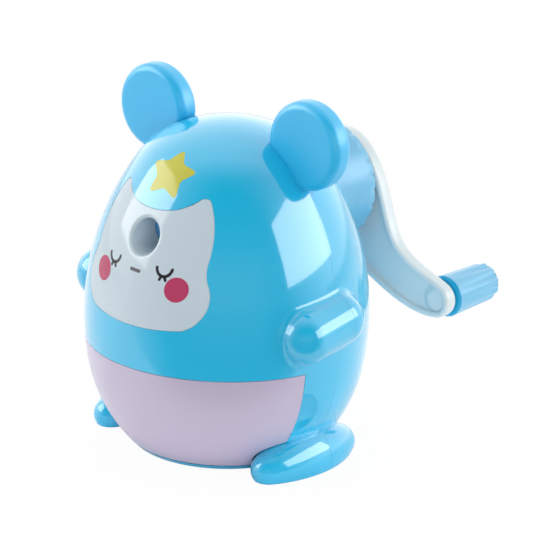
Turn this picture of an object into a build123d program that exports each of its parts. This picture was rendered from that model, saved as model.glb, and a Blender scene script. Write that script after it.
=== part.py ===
"""Hand-cranked pencil sharpener in the shape of a sitting mouse.

Frame: the origin is on the table under the upright axis of the egg-shaped body, +Z is up,
the face and the shavings drawer look along -Y, and the crank stands behind, on +Y.
Lengths are in millimetres and angles in degrees.
"""

from build123d import *
import math
import os

os.makedirs("parts", exist_ok=True)

# ---------------------------------------------------------------- body form
body_top = 103.8  # height of the crown over the table
crown_radius = 43.0  # the egg's profile: four tangent arcs from the crown down
crown_arc = 27.0
shoulder_radius = 24.0
shoulder_arc = 27.3
flank_radius = 86.3
flank_arc = 45.5
base_radius = 28.63  # the belly's arc meets the table at this radius
belly_overrun = 25.0  # and runs on below it, where each moulding is cut off
wall = 2.0  # shell wall
seam_y = 1.2  # where the front and rear shells meet
joint_gap = 0.15  # visible line between two mouldings
seat_gap = 0.05  # between pieces that are pushed together

# ---------------------------------------------------------------- drawer and base
drawer_top = 34.8
drawer_edge_y = -11.7  # rear edge of the drawer front, on the body's side
drawer_gap = 0.35
drawer_wall = 1.8
bin_half_width = 21.0
bin_rear_y = 16.0
bin_floor_z = 4.0
bin_top_z = 33.0
bin_corner = 6.0
base_under = 0.6
base_lip_top = 2.0
base_floor_top = 3.0
runner_height = 0.7
runner_width = 2.0
runner_x = 12.0
fence_height = 5.0
fence_wall = 1.3
pad_radius = 20.0
pad_thickness = 1.6

# ---------------------------------------------------------------- pencil way
axis_drop = 29.5  # the pencil's axis under the crown
axis_z = body_top - axis_drop
mouth_radius = 5.2
mouth_round = 1.0
mouth_tube_wall = 1.8
mouth_tube_end_y = -27.0
guide_radius = 4.15  # for pencils up to 8 mm
guide_wall = 3.0
guide_funnel = 1.6

# ---------------------------------------------------------------- face plate
plate_thickness = 1.6
plate_floor = 1.4  # shell wall left behind the plate
plate_gap = 0.25
# outline from the pencil's axis, right side: brow, pointed corner beside the brow, side, cheek, chin
brow_rise = 8.9
brow_end = (11.8, 10.5)
plate_corner = (16.3, 14.7)
plate_side = (20.6, 6.3)
cheek_top = (22.0, -4.3)
cheek_notch = (23.4, -10.7)
chin_end = (13.5, -25.4)
chin_rise = -25.8
plate_corner_round = 2.0

# ---------------------------------------------------------------- cutter seat
bulkhead_y = -13.0
bulkhead_thickness = 2.0
bearing_length = 4.5
bearing_radius = 8.0
running_gap = 0.06
tunnel_radius = 17.9
tunnel_wall = 1.8
tunnel_rear_y = 22.0
chute_half_width = 14.0
chute_front_y = -4.0
chute_rear_rim = 3.0
chute_roof_drop = 5.0
tab_hole_reach = 1.8
tab_x = tunnel_radius + tunnel_wall + tab_hole_reach
tab_spread_z = 9.5
tab_thickness = 2.4
tab_width = 8.0

# ---------------------------------------------------------------- cutter unit
collar_shoulder = 0.7
collar_flare = 0.8
collar_radius = tunnel_radius + collar_shoulder
collar_rim_radius = collar_radius + collar_flare
collar_rim_width = 3.4
collar_rear_y = 48.0
collar_opening_gap = 0.5
collar_end_wall = 3.0
collar_flutes = 22
plug_wall = 1.6
plug_front_y = 6.0
plug_gap = 0.3
lug_count = 3
lug_radius = 19.0
lug_angle = 20.0
lug_width = 3.0
unlock_angle = 30.0
slot_gap = 0.4
ring_front_y = 26.0
ring_width = 5.0
gear_module = 0.7
pinion_teeth = 12
ring_teeth = 24
cutter_radius = 4.9
cutter_teeth = 8
cutter_front_offset = 8.9  # from the pencil's axis to the cutter's, at y = 0
gear_plane_y = 28.2  # where the pinion's middle meets the ring gear
cutter_start = -2.0  # along the cutter's own axis from y = 0
cutter_length = 24.4
cutter_lead = 80.0
pinion_width = 3.6
axle_radius = 1.5
carrier_disc_radius = 14.0
carrier_disc_thickness = 2.7
carrier_rear_radius = 9.4
carrier_rear_y = 23.5
carrier_plate = 1.5
hub_radius = 7.6
hub_front_y = 32.0
hub_thickness = 2.2
shaft_radius = 3.3
washer_thickness = 0.5
shaft_flat = 2.6  # flat of the D on the shaft's end, from its axis
carrier_bore_gap = 0.75  # the pencil turns clear of the carrier
shaft_bearing_length = 8.0

# ---------------------------------------------------------------- crank
arm_front_y = 51.0
arm_thickness = 5.0
arm_rim = 1.9
arm_web = 2.2
arm_edge_round = 1.2
crank_throw = 52.3
crank_angle = -38.3  # at rest, from +X
crank_hub_radius = 15.2
crank_end_radius = 5.7
# the arm's edges between its two round ends, from the hub's middle and seen from behind
arm_upper_edge = [(-17.1, 0.4), (-26.0, -19.4)]
arm_lower_edge = [(-21.2, -33.8), (-5.0, -24.4), (9.6, -11.2)]
knob_front_y = 56.6
knob_rear_y = 78.0
knob_near_radius = 6.7
knob_far_radius = 6.1
knob_flutes = 10
knob_flute_radius = 1.5
knob_pin_radius = 2.2

# ---------------------------------------------------------------- ears, arms and feet
ear_radius = 13.7
ear_thickness = 7.6
ear_edge = 2.6
ear_lean = 43.5  # from upright, about the shoulder's centre
ear_stand = 8.4  # ear's centre above the body's surface
ear_tab_width = 9.0
ear_tab_thickness = 3.0
ear_tab_depth = 7.0
flipper_radius = 8.3
flipper_sink = 1.7  # its centre line inside the body's widest radius
flipper_front_y = -9.8
flipper_front_z = 46.8
flipper_rear_y = 2.5
flipper_rear_z = 48.8
foot_half_length = 21.7
foot_half_width = 9.5
foot_tip_radius = 5.5
foot_y = -1.1
foot_z = 3.05
foot_out = 2.65  # foot's centre line outside the body's radius at the base lip
scoop_radius = 8.0
scoop_y = -12.0
scoop_z = 21.5
scoop_depth = 2.6

# ---------------------------------------------------------------- screws
screw_radius = 1.3
screw_head_radius = 2.5
screw_head_height = 1.6
screw_hole_gap = 0.2
pilot_gap = 0.04
screw_bite = 7.0
boss_radius = 3.6
post_wall = 1.5
post_floor = 2.5
case_screw_x = 30.6
case_screw_low_z = 25.0
case_screw_high_z = 56.0
base_screw_y = 9.0

# ---------------------------------------------------------------- worked-out places
case_screws_xz = [(s * case_screw_x, z) for s in (-1, 1) for z in (case_screw_low_z, case_screw_high_z)]
seat_screws_xz = [(s * tab_x, axis_z + d) for s in (-1, 1) for d in (-tab_spread_z, tab_spread_z)]
axis_plane = Plane(origin=(0, 0, axis_z), x_dir=(1, 0, 0), z_dir=(0, 1, 0))  # its Y is downwards


def egg_arcs():
    """Centre (x, z), radius, first and last lean of each arc of the profile, from the crown down."""
    arcs = []
    x, z, lean = 0.0, body_top, 0.0
    for radius, sweep_angle in (
        (crown_radius, crown_arc),
        (shoulder_radius, shoulder_arc),
        (flank_radius, flank_arc),
    ):
        start = math.radians(lean)
        cx = x - radius * math.sin(start)
        cz = z - radius * math.cos(start)
        lean += sweep_angle
        end = math.radians(lean)
        x = cx + radius * math.sin(end)
        z = cz + radius * math.cos(end)
        arcs.append((cx, cz, radius, start, end))
    # the belly leaves the flank without a kink and meets the table at the base radius
    start = math.radians(lean)
    across = (x - base_radius) * math.sin(start) + z * math.cos(start)
    radius = ((x - base_radius) ** 2 + z**2) / (2 * across)
    cx = x - radius * math.sin(start)
    cz = z - radius * math.cos(start)
    arcs.append((cx, cz, radius, start, math.acos(-cz / radius) + math.radians(belly_overrun)))
    return arcs


belly_radius = egg_arcs()[3][2]
belly_arc = math.degrees(egg_arcs()[3][4] - egg_arcs()[3][3])


def egg_radius(height, inset=0.0):
    """Radius of the egg at a height, pulled in by inset."""
    for cx, cz, radius, start, end in egg_arcs():
        r = radius - inset
        if cz + r * math.cos(end) <= height <= cz + r * math.cos(start):
            return cx + math.sqrt(r * r - (height - cz) ** 2)
    return 0.0


def egg_form(inset, bottom):
    """The egg as a solid of revolution, pulled in by inset and cut off level at bottom."""
    with BuildPart() as form:
        with BuildSketch(Plane.XZ):
            with BuildLine():
                crown = JernArc((0, body_top - inset), (1, 0), crown_radius - inset, -crown_arc)
                shoulder = JernArc(crown @ 1, crown % 1, shoulder_radius - inset, -shoulder_arc)
                flank = JernArc(shoulder @ 1, shoulder % 1, flank_radius - inset, -flank_arc)
                belly = JernArc(flank @ 1, flank % 1, belly_radius - inset, -belly_arc)
                Polyline(belly @ 1, (0, (belly @ 1).Y), (0, body_top - inset))
            make_face()
        revolve(axis=Axis.Z)
        split(bisect_by=Plane.XY.offset(bottom), keep=Keep.TOP)
    return form.part


def round_bar(x, z, y_from, y_to, radius):
    """A cylinder along Y."""
    with BuildPart() as bar:
        with BuildSketch(Plane(origin=(x, y_from, z), x_dir=(1, 0, 0), z_dir=(0, 1, 0))):
            Circle(radius)
        extrude(amount=y_to - y_from)
    return bar.part


def block(x_from, x_to, y_from, y_to, z_from, z_to):
    """A box given by its limits."""
    with BuildPart() as box:
        with Locations(((x_from + x_to) / 2, (y_from + y_to) / 2, (z_from + z_to) / 2)):
            Box(abs(x_to - x_from), abs(y_to - y_from), abs(z_to - z_from))
    return box.part


far = 80.0  # past the whole body


def flipper_form(side, shrink=0.0):
    """One arm: a round-ended bar lying along the body's side."""
    x = side * (egg_radius(flipper_rear_z) - flipper_sink)
    front = Vector(x, flipper_front_y, flipper_front_z)
    rear = Vector(x, flipper_rear_y, flipper_rear_z)
    with BuildPart() as form:
        with BuildSketch(Plane(origin=front, z_dir=rear - front)):
            Circle(flipper_radius - shrink)
        extrude(amount=(rear - front).length)
        with Locations(front, rear):
            Sphere(flipper_radius - shrink)
    return form.part


def foot_form(side, shrink=0.0):
    """One foot: the upper part of a long round form lying along Y, cut off level at the table."""
    x = side * (egg_radius(base_lip_top) + foot_out)
    toe = foot_half_length - foot_tip_radius  # from the middle to the centre of the toe's arc
    side_radius = (toe**2 + foot_half_width**2 - foot_tip_radius**2) / 2 / (foot_half_width - foot_tip_radius)
    turn = math.degrees(math.atan2(toe, side_radius - foot_half_width))
    with BuildPart() as form:
        with BuildSketch(Plane(origin=(x, foot_y, foot_z), x_dir=(0, 1, 0), z_dir=(1, 0, 0))):
            with BuildLine():
                back = JernArc((shrink - foot_half_length, 0), (0, 1), foot_tip_radius - shrink, turn - 90)
                top = JernArc(back @ 1, back % 1, side_radius - shrink, -2 * turn)
                front = JernArc(top @ 1, top % 1, foot_tip_radius - shrink, turn - 90)
                Line(front @ 1, back @ 0)
            make_face()
        revolve(axis=Axis((x, foot_y, foot_z), (0, 1, 0)))
        split(bisect_by=Plane.XY, keep=Keep.TOP)
    return form.part


def moved(points, amount):
    """The inner points of a line in a plane, each moved to the line's left by amount."""
    result = []
    for before, point, after in zip(points, points[1:], points[2:]):
        along = Vector(*after) - Vector(*before)
        result.append(Vector(*point) + Vector(-along.Y, along.X) * (amount / along.length))
    return result


def face_form(grow, inset_from, inset_to):
    """The face plate's outline, carried back through the body and kept between two depths of the egg."""
    with BuildPart() as form:
        with BuildSketch(Plane.XZ.shift_origin((0, 0, axis_z))):
            with BuildLine():
                corner = Line(brow_end, plate_corner)
                side = ThreePointArc(plate_corner, plate_side, cheek_top)
                notch = TangentArc(side @ 1, cheek_notch, tangent=side % 1)
                cheek = TangentArc(notch @ 1, chin_end, tangent=notch % 1)
                for edge in (corner, side, notch, cheek):
                    mirror(edge, about=Plane.YZ)
                ThreePointArc((-brow_end[0], brow_end[1]), (0, brow_rise), brow_end)
                ThreePointArc((-chin_end[0], chin_end[1]), (0, chin_rise), chin_end)
            outline = make_face()
            fillet(outline.vertices().group_by(Axis.Y)[-2:], plate_corner_round)
            if grow:
                offset(amount=grow, kind=Kind.ARC)
        extrude(amount=far)
        add(egg_form(inset_from, 0), mode=Mode.INTERSECT)
        add(egg_form(inset_to, 0), mode=Mode.SUBTRACT)
    return form.part


# ---------------------------------------------------------------- shells
foot_x = egg_radius(base_lip_top) + foot_out
shell_bottom = base_lip_top + joint_gap
bridge_half_y = base_screw_y + 2.0
post_bore = screw_head_radius + 2 * screw_hole_gap
post_radius = post_bore + post_wall
case_head_y = seam_y + post_floor
base_screws_xy = [(s * foot_x, seam_y + d) for s in (-1, 1) for d in (-base_screw_y, base_screw_y)]
sole_thickness = 1.6
sole_boss_top = base_under + screw_head_height + 1.4

shoulder_x, shoulder_z = egg_arcs()[1][:2]
ear_reach = shoulder_radius + ear_stand
ear_x = shoulder_x + ear_reach * math.sin(math.radians(ear_lean))
ear_z = shoulder_z + ear_reach * math.cos(math.radians(ear_lean))


def ear_tab_form(side, grow=0.0):
    """The flat tab under an ear, which the two shells clamp between them."""
    outward = Vector(side * math.sin(math.radians(ear_lean)), 0, math.cos(math.radians(ear_lean)))
    length = ear_tab_depth + 2.0
    with BuildPart() as form:
        with BuildSketch(Plane(origin=(side * ear_x, seam_y, ear_z), x_dir=outward, z_dir=(0, 1, 0))):
            with Locations((1.0 - ear_stand - ear_tab_depth / 2, 0)):
                Rectangle(length + 2 * grow, ear_tab_width + 2 * grow)
        extrude(amount=ear_tab_thickness / 2 + grow, both=True)
    return form.part


def shell_skin():
    """Both shells in one: the hollow egg with its arms and feet, open under the drawer's top in front."""
    with BuildPart() as skin:
        add(egg_form(0, shell_bottom))
        for side in (-1, 1):
            add(flipper_form(side))
        add(egg_form(wall, -1), mode=Mode.SUBTRACT)
        for side in (-1, 1):
            add(flipper_form(side, wall), mode=Mode.SUBTRACT)
        add(block(-far, far, -far, drawer_edge_y, -far, drawer_top), mode=Mode.SUBTRACT)
        for side in (-1, 1):
            add(foot_form(side))
        for side in (-1, 1):
            add(foot_form(side, wall), mode=Mode.SUBTRACT)
            add(
                block(0, side * foot_x, -bridge_half_y, bridge_half_y, -1, base_under + sole_thickness + 0.3),
                mode=Mode.SUBTRACT,
            )
    return skin.part


skin = shell_skin()

# front shell: brow, cheeks, front of the arms and feet, and the pocket that takes the face plate
scoop_sphere = (scoop_radius**2 + scoop_depth**2) / (2 * scoop_depth)
scoop_x = math.sqrt(egg_radius(scoop_z) ** 2 - scoop_y**2)
belly_centre_x, belly_centre_z = egg_arcs()[3][:2]
scoop_tilt = math.asin((scoop_z - belly_centre_z) / belly_radius)
scoop_round = math.atan2(scoop_y, scoop_x)
scoop_normal = Vector(
    math.cos(scoop_tilt) * math.cos(scoop_round),
    math.cos(scoop_tilt) * math.sin(scoop_round),
    math.sin(scoop_tilt),
)
scoop_centre = Vector(scoop_x, scoop_y, scoop_z) + scoop_normal * (scoop_sphere - scoop_depth)
scoop_centres = [Vector(side * scoop_centre.X, scoop_centre.Y, scoop_centre.Z) for side in (-1, 1)]
mouth_tube_radius = mouth_radius + mouth_tube_wall
boss_front_y = seam_y - screw_bite - 1.5

with BuildPart() as scoop_walls:
    with Locations(*scoop_centres):
        Sphere(scoop_sphere + wall)
    add(egg_form(wall / 2, shell_bottom), mode=Mode.INTERSECT)
    add(block(-far, far, drawer_edge_y, seam_y, 0, far), mode=Mode.INTERSECT)

with BuildPart() as front_bosses:
    for x, z in seat_screws_xz:
        add(round_bar(x, z, -far, bulkhead_y, boss_radius))
    for x, z in case_screws_xz:
        if z > drawer_top:
            add(round_bar(x, z, -far, seam_y, boss_radius))
        else:
            add(round_bar(x, z, boss_front_y, seam_y, boss_radius))
            add(block(x, math.copysign(far, x), boss_front_y, seam_y, z - wall / 2, z + wall / 2))
    add(egg_form(wall / 2, 0), mode=Mode.INTERSECT)

with BuildPart() as foot_cores:
    for side in (-1, 1):
        add(foot_form(side, wall / 2))

with BuildPart() as foot_bosses:
    for x, y in base_screws_xy:
        with Locations((x, y, 0)):
            Cylinder(boss_radius - 0.4, far, align=(Align.CENTER, Align.CENTER, Align.MIN))
    add(foot_cores.part, mode=Mode.INTERSECT)
    split(bisect_by=Plane.XY.offset(sole_boss_top + joint_gap), keep=Keep.TOP)

with BuildPart() as drawer_shelf:
    add(egg_form(wall / 2, drawer_top))
    add(egg_form(wall + 3.5, 0), mode=Mode.SUBTRACT)
    add(block(-far, far, -far, drawer_edge_y, drawer_top, drawer_top + wall), mode=Mode.INTERSECT)

with BuildPart() as front_shell:
    add(skin)
    add(scoop_walls.part)
    add(front_bosses.part)
    add(foot_bosses.part)
    add(drawer_shelf.part)
    add(face_form(2.0, wall / 2, plate_thickness + seat_gap + plate_floor))
    add(face_form(plate_gap, -1.0, plate_thickness + seat_gap), mode=Mode.SUBTRACT)
    add(
        round_bar(0, axis_z, -far, bulkhead_y, mouth_tube_radius + plate_gap),
        mode=Mode.SUBTRACT,
    )
    with Locations(*scoop_centres):
        Sphere(scoop_sphere, mode=Mode.SUBTRACT)
    for side in (-1, 1):
        add(ear_tab_form(side, seat_gap), mode=Mode.SUBTRACT)
    for x, z in case_screws_xz:
        add(
            round_bar(x, z, seam_y - screw_bite - 0.5, far, screw_radius + pilot_gap),
            mode=Mode.SUBTRACT,
        )
    for x, z in seat_screws_xz:
        add(
            round_bar(x, z, bulkhead_y - screw_bite + 0.5, bulkhead_y, screw_radius + pilot_gap),
            mode=Mode.SUBTRACT,
        )
    for x, y in base_screws_xy:
        with Locations((x, y, 0)):
            Cylinder(
                screw_radius + pilot_gap,
                sole_boss_top + screw_bite - 1.0,
                align=(Align.CENTER, Align.CENTER, Align.MIN),
                mode=Mode.SUBTRACT,
            )
    split(bisect_by=Plane.XZ.offset(-seam_y), keep=Keep.TOP)

# rear shell: the back of the egg, with the round opening for the cutter unit and deep screw posts
with BuildPart() as screw_posts:
    for x, z in case_screws_xz:
        add(round_bar(x, z, seam_y, far, post_radius))
    add(round_bar(0, axis_z, tunnel_rear_y + 2.0, far, collar_radius + collar_opening_gap + wall))
    add(egg_form(wall / 2, 0), mode=Mode.INTERSECT)

with BuildPart() as rear_shell:
    add(skin)
    add(screw_posts.part)
    add(foot_bosses.part)
    add(
        round_bar(0, axis_z, seam_y, far, collar_radius + collar_opening_gap),
        mode=Mode.SUBTRACT,
    )
    for x, z in case_screws_xz:
        add(round_bar(x, z, case_head_y, far, post_bore), mode=Mode.SUBTRACT)
        add(round_bar(x, z, 0, far, screw_radius + screw_hole_gap), mode=Mode.SUBTRACT)
    for side in (-1, 1):
        add(ear_tab_form(side, seat_gap), mode=Mode.SUBTRACT)
    for x, y in base_screws_xy:
        with Locations((x, y, 0)):
            Cylinder(
                screw_radius + pilot_gap,
                sole_boss_top + screw_bite - 1.0,
                align=(Align.CENTER, Align.CENTER, Align.MIN),
                mode=Mode.SUBTRACT,
            )
    split(bisect_by=Plane.XZ.offset(-seam_y - seat_gap), keep=Keep.BOTTOM)

# ---------------------------------------------------------------- face plate
with BuildPart() as face_plate:
    add(round_bar(0, axis_z, -far, mouth_tube_end_y, mouth_tube_radius))
    add(egg_form(0, 0), mode=Mode.INTERSECT)
    add(face_form(0, 0, plate_thickness))
    add(round_bar(0, axis_z, -far, 0, mouth_radius), mode=Mode.SUBTRACT)
    mouth_rim = face_plate.edges().filter_by(
        lambda edge: abs(math.hypot((edge @ 0).X, (edge @ 0).Z - axis_z) - mouth_radius) < 0.01
        and (edge @ 0).Y < mouth_tube_end_y - 1
        and edge.length > mouth_radius
    )
    fillet(mouth_rim, mouth_round)

# ---------------------------------------------------------------- ears
def ear_form(side):
    """One ear: a thick rounded disc that sits on the shoulder, with its tab below."""
    with BuildPart() as form:
        add(round_bar(side * ear_x, ear_z, seam_y - ear_thickness / 2, seam_y + ear_thickness / 2, ear_radius))
        fillet(form.edges().filter_by(GeomType.CIRCLE), ear_edge)
        add(egg_form(-seat_gap, 0), mode=Mode.SUBTRACT)
        add(ear_tab_form(side))
    return form.part


with BuildPart() as left_ear:
    add(ear_form(-1))

with BuildPart() as right_ear:
    add(ear_form(1))

# ---------------------------------------------------------------- drawer
drawer_bottom = base_lip_top + drawer_gap
drawer_rear = drawer_edge_y - joint_gap
with BuildPart() as bin_outer:
    with BuildSketch(Plane.XY.offset(bin_floor_z)):
        with Locations((0, bin_rear_y)):
            RectangleRounded(2 * bin_half_width, 2 * far, bin_corner, align=(Align.CENTER, Align.MAX))
    extrude(amount=bin_top_z - bin_floor_z)
    add(egg_form(drawer_wall / 2, 0), mode=Mode.INTERSECT)

with BuildPart() as bin_inner:
    with BuildSketch(Plane.XY.offset(bin_floor_z + drawer_wall)):
        with Locations((0, bin_rear_y - drawer_wall)):
            RectangleRounded(
                2 * (bin_half_width - drawer_wall),
                2 * far,
                bin_corner - drawer_wall,
                align=(Align.CENTER, Align.MAX),
            )
    extrude(amount=far)
    add(egg_form(drawer_wall, 0), mode=Mode.INTERSECT)

with BuildPart() as drawer:
    add(egg_form(0, drawer_bottom))
    add(egg_form(drawer_wall, 0), mode=Mode.SUBTRACT)
    for side in (-1, 1):
        web_y = drawer_rear - drawer_wall
        add(block(side * (bin_half_width - 1), side * far, web_y, drawer_rear, bin_floor_z, bin_top_z))
    add(egg_form(0, drawer_bottom), mode=Mode.INTERSECT)
    add(block(-far, far, -far, drawer_rear, 0, drawer_top - drawer_gap), mode=Mode.INTERSECT)
    add(bin_outer.part)
    add(bin_inner.part, mode=Mode.SUBTRACT)
    for side in (-1, 1):
        add(foot_form(side, -drawer_gap), mode=Mode.SUBTRACT)

# ---------------------------------------------------------------- base
fence_x = bin_half_width + drawer_gap
with BuildPart() as base_floor:
    add(egg_form(wall + 1.0, base_under))
    split(bisect_by=Plane.XY.offset(base_floor_top), keep=Keep.BOTTOM)

with BuildPart() as base_soles:
    for side in (-1, 1):
        add(foot_form(side, wall + joint_gap))
    add(block(-far, far, -far, far, base_under, base_under + sole_thickness), mode=Mode.INTERSECT)

with BuildPart() as base_plate:
    add(egg_form(0, base_under))
    split(bisect_by=Plane.XY.offset(base_lip_top), keep=Keep.BOTTOM)
    add(base_floor.part)
    for side in (-1, 1):
        add(foot_form(side, -seat_gap - joint_gap), mode=Mode.SUBTRACT)
    add(base_soles.part)
    for side in (-1, 1):
        add(
            block(
                side * (bin_half_width - 1),
                side * foot_x,
                1 - bridge_half_y,
                bridge_half_y - 1,
                base_under,
                base_under + sole_thickness,
            )
        )
        fence_limits = (side * fence_x, side * (fence_x + fence_wall))
        add(block(*fence_limits, seam_y, bin_rear_y, base_under + 1, base_floor_top + fence_height))
        add(
            block(
                side * (runner_x - runner_width / 2),
                side * (runner_x + runner_width / 2),
                drawer_edge_y * 2,
                bin_rear_y,
                base_under + 1,
                base_floor_top + runner_height,
            )
        )
    add(
        block(
            -runner_x / 2,
            runner_x / 2,
            bin_rear_y + drawer_gap,
            bin_rear_y + drawer_gap + fence_wall,
            base_under + 1,
            base_floor_top + fence_height,
        )
    )
    for x, y in base_screws_xy:
        with Locations((x, y, base_under)):
            Cylinder(
                boss_radius,
                sole_boss_top - base_under,
                align=(Align.CENTER, Align.CENTER, Align.MIN),
            )
    for x, y in base_screws_xy:
        with Locations((x, y, base_under)):
            Cylinder(
                screw_head_radius + screw_hole_gap,
                screw_head_height + screw_hole_gap,
                align=(Align.CENTER, Align.CENTER, Align.MIN),
                mode=Mode.SUBTRACT,
            )
            Cylinder(
                screw_radius + screw_hole_gap,
                far,
                align=(Align.CENTER, Align.CENTER, Align.MIN),
                mode=Mode.SUBTRACT,
            )
    with Locations((0, 0, 0)):
        Cylinder(
            pad_radius + joint_gap,
            pad_thickness + seat_gap,
            align=(Align.CENTER, Align.CENTER, Align.MIN),
            mode=Mode.SUBTRACT,
        )

with BuildPart() as anti_slip_pad:
    Cylinder(pad_radius, pad_thickness, align=(Align.CENTER, Align.CENTER, Align.MIN))

# ---------------------------------------------------------------- cutter seat
bulkhead_rear_y = bulkhead_y + bulkhead_thickness
bearing_rear_y = bulkhead_rear_y + bearing_length
tunnel_outer = tunnel_radius + tunnel_wall
guide_front_y = mouth_tube_end_y + 0.3
lug_front_y = plug_front_y + 4.0


def ring_sector(radius_from, radius_to, angle_from, angle_to, y_from, y_to):
    """A sector of a ring about the pencil's axis; angles turn from +X towards the table."""
    with BuildPart() as sector:
        with BuildSketch(axis_plane.offset(y_from)):
            with BuildLine():
                outer = CenterArc((0, 0), radius_to, angle_from, angle_to - angle_from)
                inner = CenterArc((0, 0), radius_from, angle_from, angle_to - angle_from)
                Line(outer @ 0, inner @ 0)
                Line(outer @ 1, inner @ 1)
            make_face()
        extrude(amount=y_to - y_from)
    return sector.part


lug_middles = [i * 360 / lug_count - 90 for i in range(lug_count)]
slot_slack = math.degrees(slot_gap / tunnel_radius)

with BuildPart() as cutter_seat:
    with BuildSketch(Plane.XY.offset(axis_z)):
        with BuildLine():
            Polyline(
                (guide_radius, bulkhead_rear_y),
                (guide_radius, guide_front_y + guide_funnel),
                (guide_radius + guide_funnel, guide_front_y),
                (guide_radius + guide_wall, guide_front_y),
                (guide_radius + guide_wall, bulkhead_y),
                (tunnel_outer, bulkhead_y),
                (tunnel_outer, tunnel_rear_y),
                (tunnel_radius, tunnel_rear_y),
                (tunnel_radius, bulkhead_rear_y),
                (bearing_radius + guide_wall, bulkhead_rear_y),
                (bearing_radius + guide_wall, bearing_rear_y),
                (bearing_radius, bearing_rear_y),
                (bearing_radius, bulkhead_rear_y),
                close=True,
            )
        make_face()
    revolve(axis=Axis((0, 0, axis_z), (0, 1, 0)))
    for x, z in seat_screws_xz:
        add(round_bar(x, z, bulkhead_y, bulkhead_y + tab_thickness, tab_width / 2))
        add(block(0.5 * x, x, bulkhead_y, bulkhead_y + tab_thickness, z - tab_width / 2, z + tab_width / 2))
    add(
        round_bar(0, axis_z, bulkhead_rear_y, tunnel_rear_y + 1, tunnel_radius),
        mode=Mode.SUBTRACT,
    )
    add(round_bar(0, axis_z, bulkhead_rear_y - 0.01, bearing_rear_y, bearing_radius + guide_wall))
    add(round_bar(0, axis_z, bulkhead_rear_y, bearing_rear_y + 1, bearing_radius), mode=Mode.SUBTRACT)
    add(round_bar(0, axis_z, bulkhead_y - 1, bulkhead_rear_y + 1, guide_radius), mode=Mode.SUBTRACT)
    for x, z in seat_screws_xz:
        add(
            round_bar(x, z, bulkhead_y - 1, bulkhead_rear_y + 1, screw_radius + screw_hole_gap),
            mode=Mode.SUBTRACT,
        )
    add(
        block(
            -chute_half_width,
            chute_half_width,
            chute_front_y,
            tunnel_rear_y - chute_rear_rim,
            0,
            axis_z - chute_roof_drop,
        ),
        mode=Mode.SUBTRACT,
    )
    for middle in lug_middles:
        half = lug_angle / 2 + slot_slack
        add(
            ring_sector(
                tunnel_radius - 1,
                tunnel_outer + 1,
                middle - half,
                middle + unlock_angle + half,
                lug_front_y - slot_gap,
                lug_front_y + lug_width + slot_gap,
            ),
            mode=Mode.SUBTRACT,
        )
        add(
            ring_sector(
                tunnel_radius - 1,
                tunnel_outer + 1,
                middle + unlock_angle - half,
                middle + unlock_angle + half,
                lug_front_y,
                tunnel_rear_y + 1,
            ),
            mode=Mode.SUBTRACT,
        )

# ---------------------------------------------------------------- collar and ring gear
plug_radius = tunnel_radius - plug_gap
plug_inner = plug_radius - plug_wall
ring_rear_y = ring_front_y + ring_width
collar_bearing_y = collar_rear_y - shaft_bearing_length
rim_front_y = collar_rear_y - collar_rim_width

with BuildPart() as cutter_collar:
    with BuildSketch(Plane.XY.offset(axis_z)):
        with BuildLine():
            Polyline(
                (plug_inner, plug_front_y),
                (plug_radius, plug_front_y),
                (plug_radius, tunnel_rear_y + plug_gap),
                (collar_radius, tunnel_rear_y + plug_gap),
                (collar_radius, rim_front_y),
                (collar_rim_radius, rim_front_y + 0.4),
                (collar_rim_radius, collar_rear_y),
                (shaft_radius + running_gap, collar_rear_y),
                (shaft_radius + running_gap, collar_bearing_y),
                (bearing_radius, collar_bearing_y),
                (bearing_radius, collar_rear_y - collar_end_wall),
                (plug_inner - plug_wall, collar_rear_y - collar_end_wall),
                (plug_inner - plug_wall, ring_rear_y + seat_gap),
                (plug_inner, ring_rear_y + seat_gap),
                close=True,
            )
        make_face()
    revolve(axis=Axis((0, 0, axis_z), (0, 1, 0)))
    rear_rim = cutter_collar.edges().filter_by(GeomType.CIRCLE).group_by(Axis.Y)[-1].sort_by(SortBy.RADIUS)[-1]
    fillet(rear_rim, 0.8)
    for middle in lug_middles:
        add(
            ring_sector(
                plug_radius - plug_wall / 2,
                lug_radius,
                middle - lug_angle / 2,
                middle + lug_angle / 2,
                lug_front_y,
                lug_front_y + lug_width,
            )
        )
    with BuildSketch(axis_plane.offset(rim_front_y)):
        with PolarLocations(collar_rim_radius + 0.45, collar_flutes):
            Circle(1.1)
    extrude(amount=collar_rim_width + 1, mode=Mode.SUBTRACT)

pinion_pitch = gear_module * pinion_teeth / 2
ring_pitch = gear_module * ring_teeth / 2
tooth_half = 0.2 * math.pi * gear_module  # a tooth takes four tenths of the pitch, for backlash
space_half = 0.3 * math.pi * gear_module
tooth_rise = 0.65 * gear_module
tooth_fall = 1.35 * gear_module

with BuildPart() as ring_gear:
    with BuildSketch(axis_plane.offset(ring_front_y)):
        Circle(plug_inner - seat_gap)
        Circle(ring_pitch - tooth_rise, mode=Mode.SUBTRACT)
        with PolarLocations(0, ring_teeth):
            Polygon(
                (ring_pitch - tooth_rise - 0.3, space_half + 0.3),
                (ring_pitch - tooth_rise - 0.3, -space_half - 0.3),
                (ring_pitch + tooth_fall, 0.3 - space_half),
                (ring_pitch + tooth_fall, space_half - 0.3),
                align=None,
                mode=Mode.SUBTRACT,
            )
    extrude(amount=ring_width)

# ---------------------------------------------------------------- cutter
gear_offset = ring_pitch - pinion_pitch
cutter_tilt = math.atan((cutter_front_offset - gear_offset) / gear_plane_y)
cutter_along = Vector(0, math.cos(cutter_tilt), -math.sin(cutter_tilt))
cutter_origin = Vector(0, 0, axis_z + cutter_front_offset)
cutter_end = cutter_start + cutter_length
pinion_middle = gear_plane_y / math.cos(cutter_tilt)
pinion_start = pinion_middle - pinion_width / 2
spin_gap = running_gap


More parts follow.
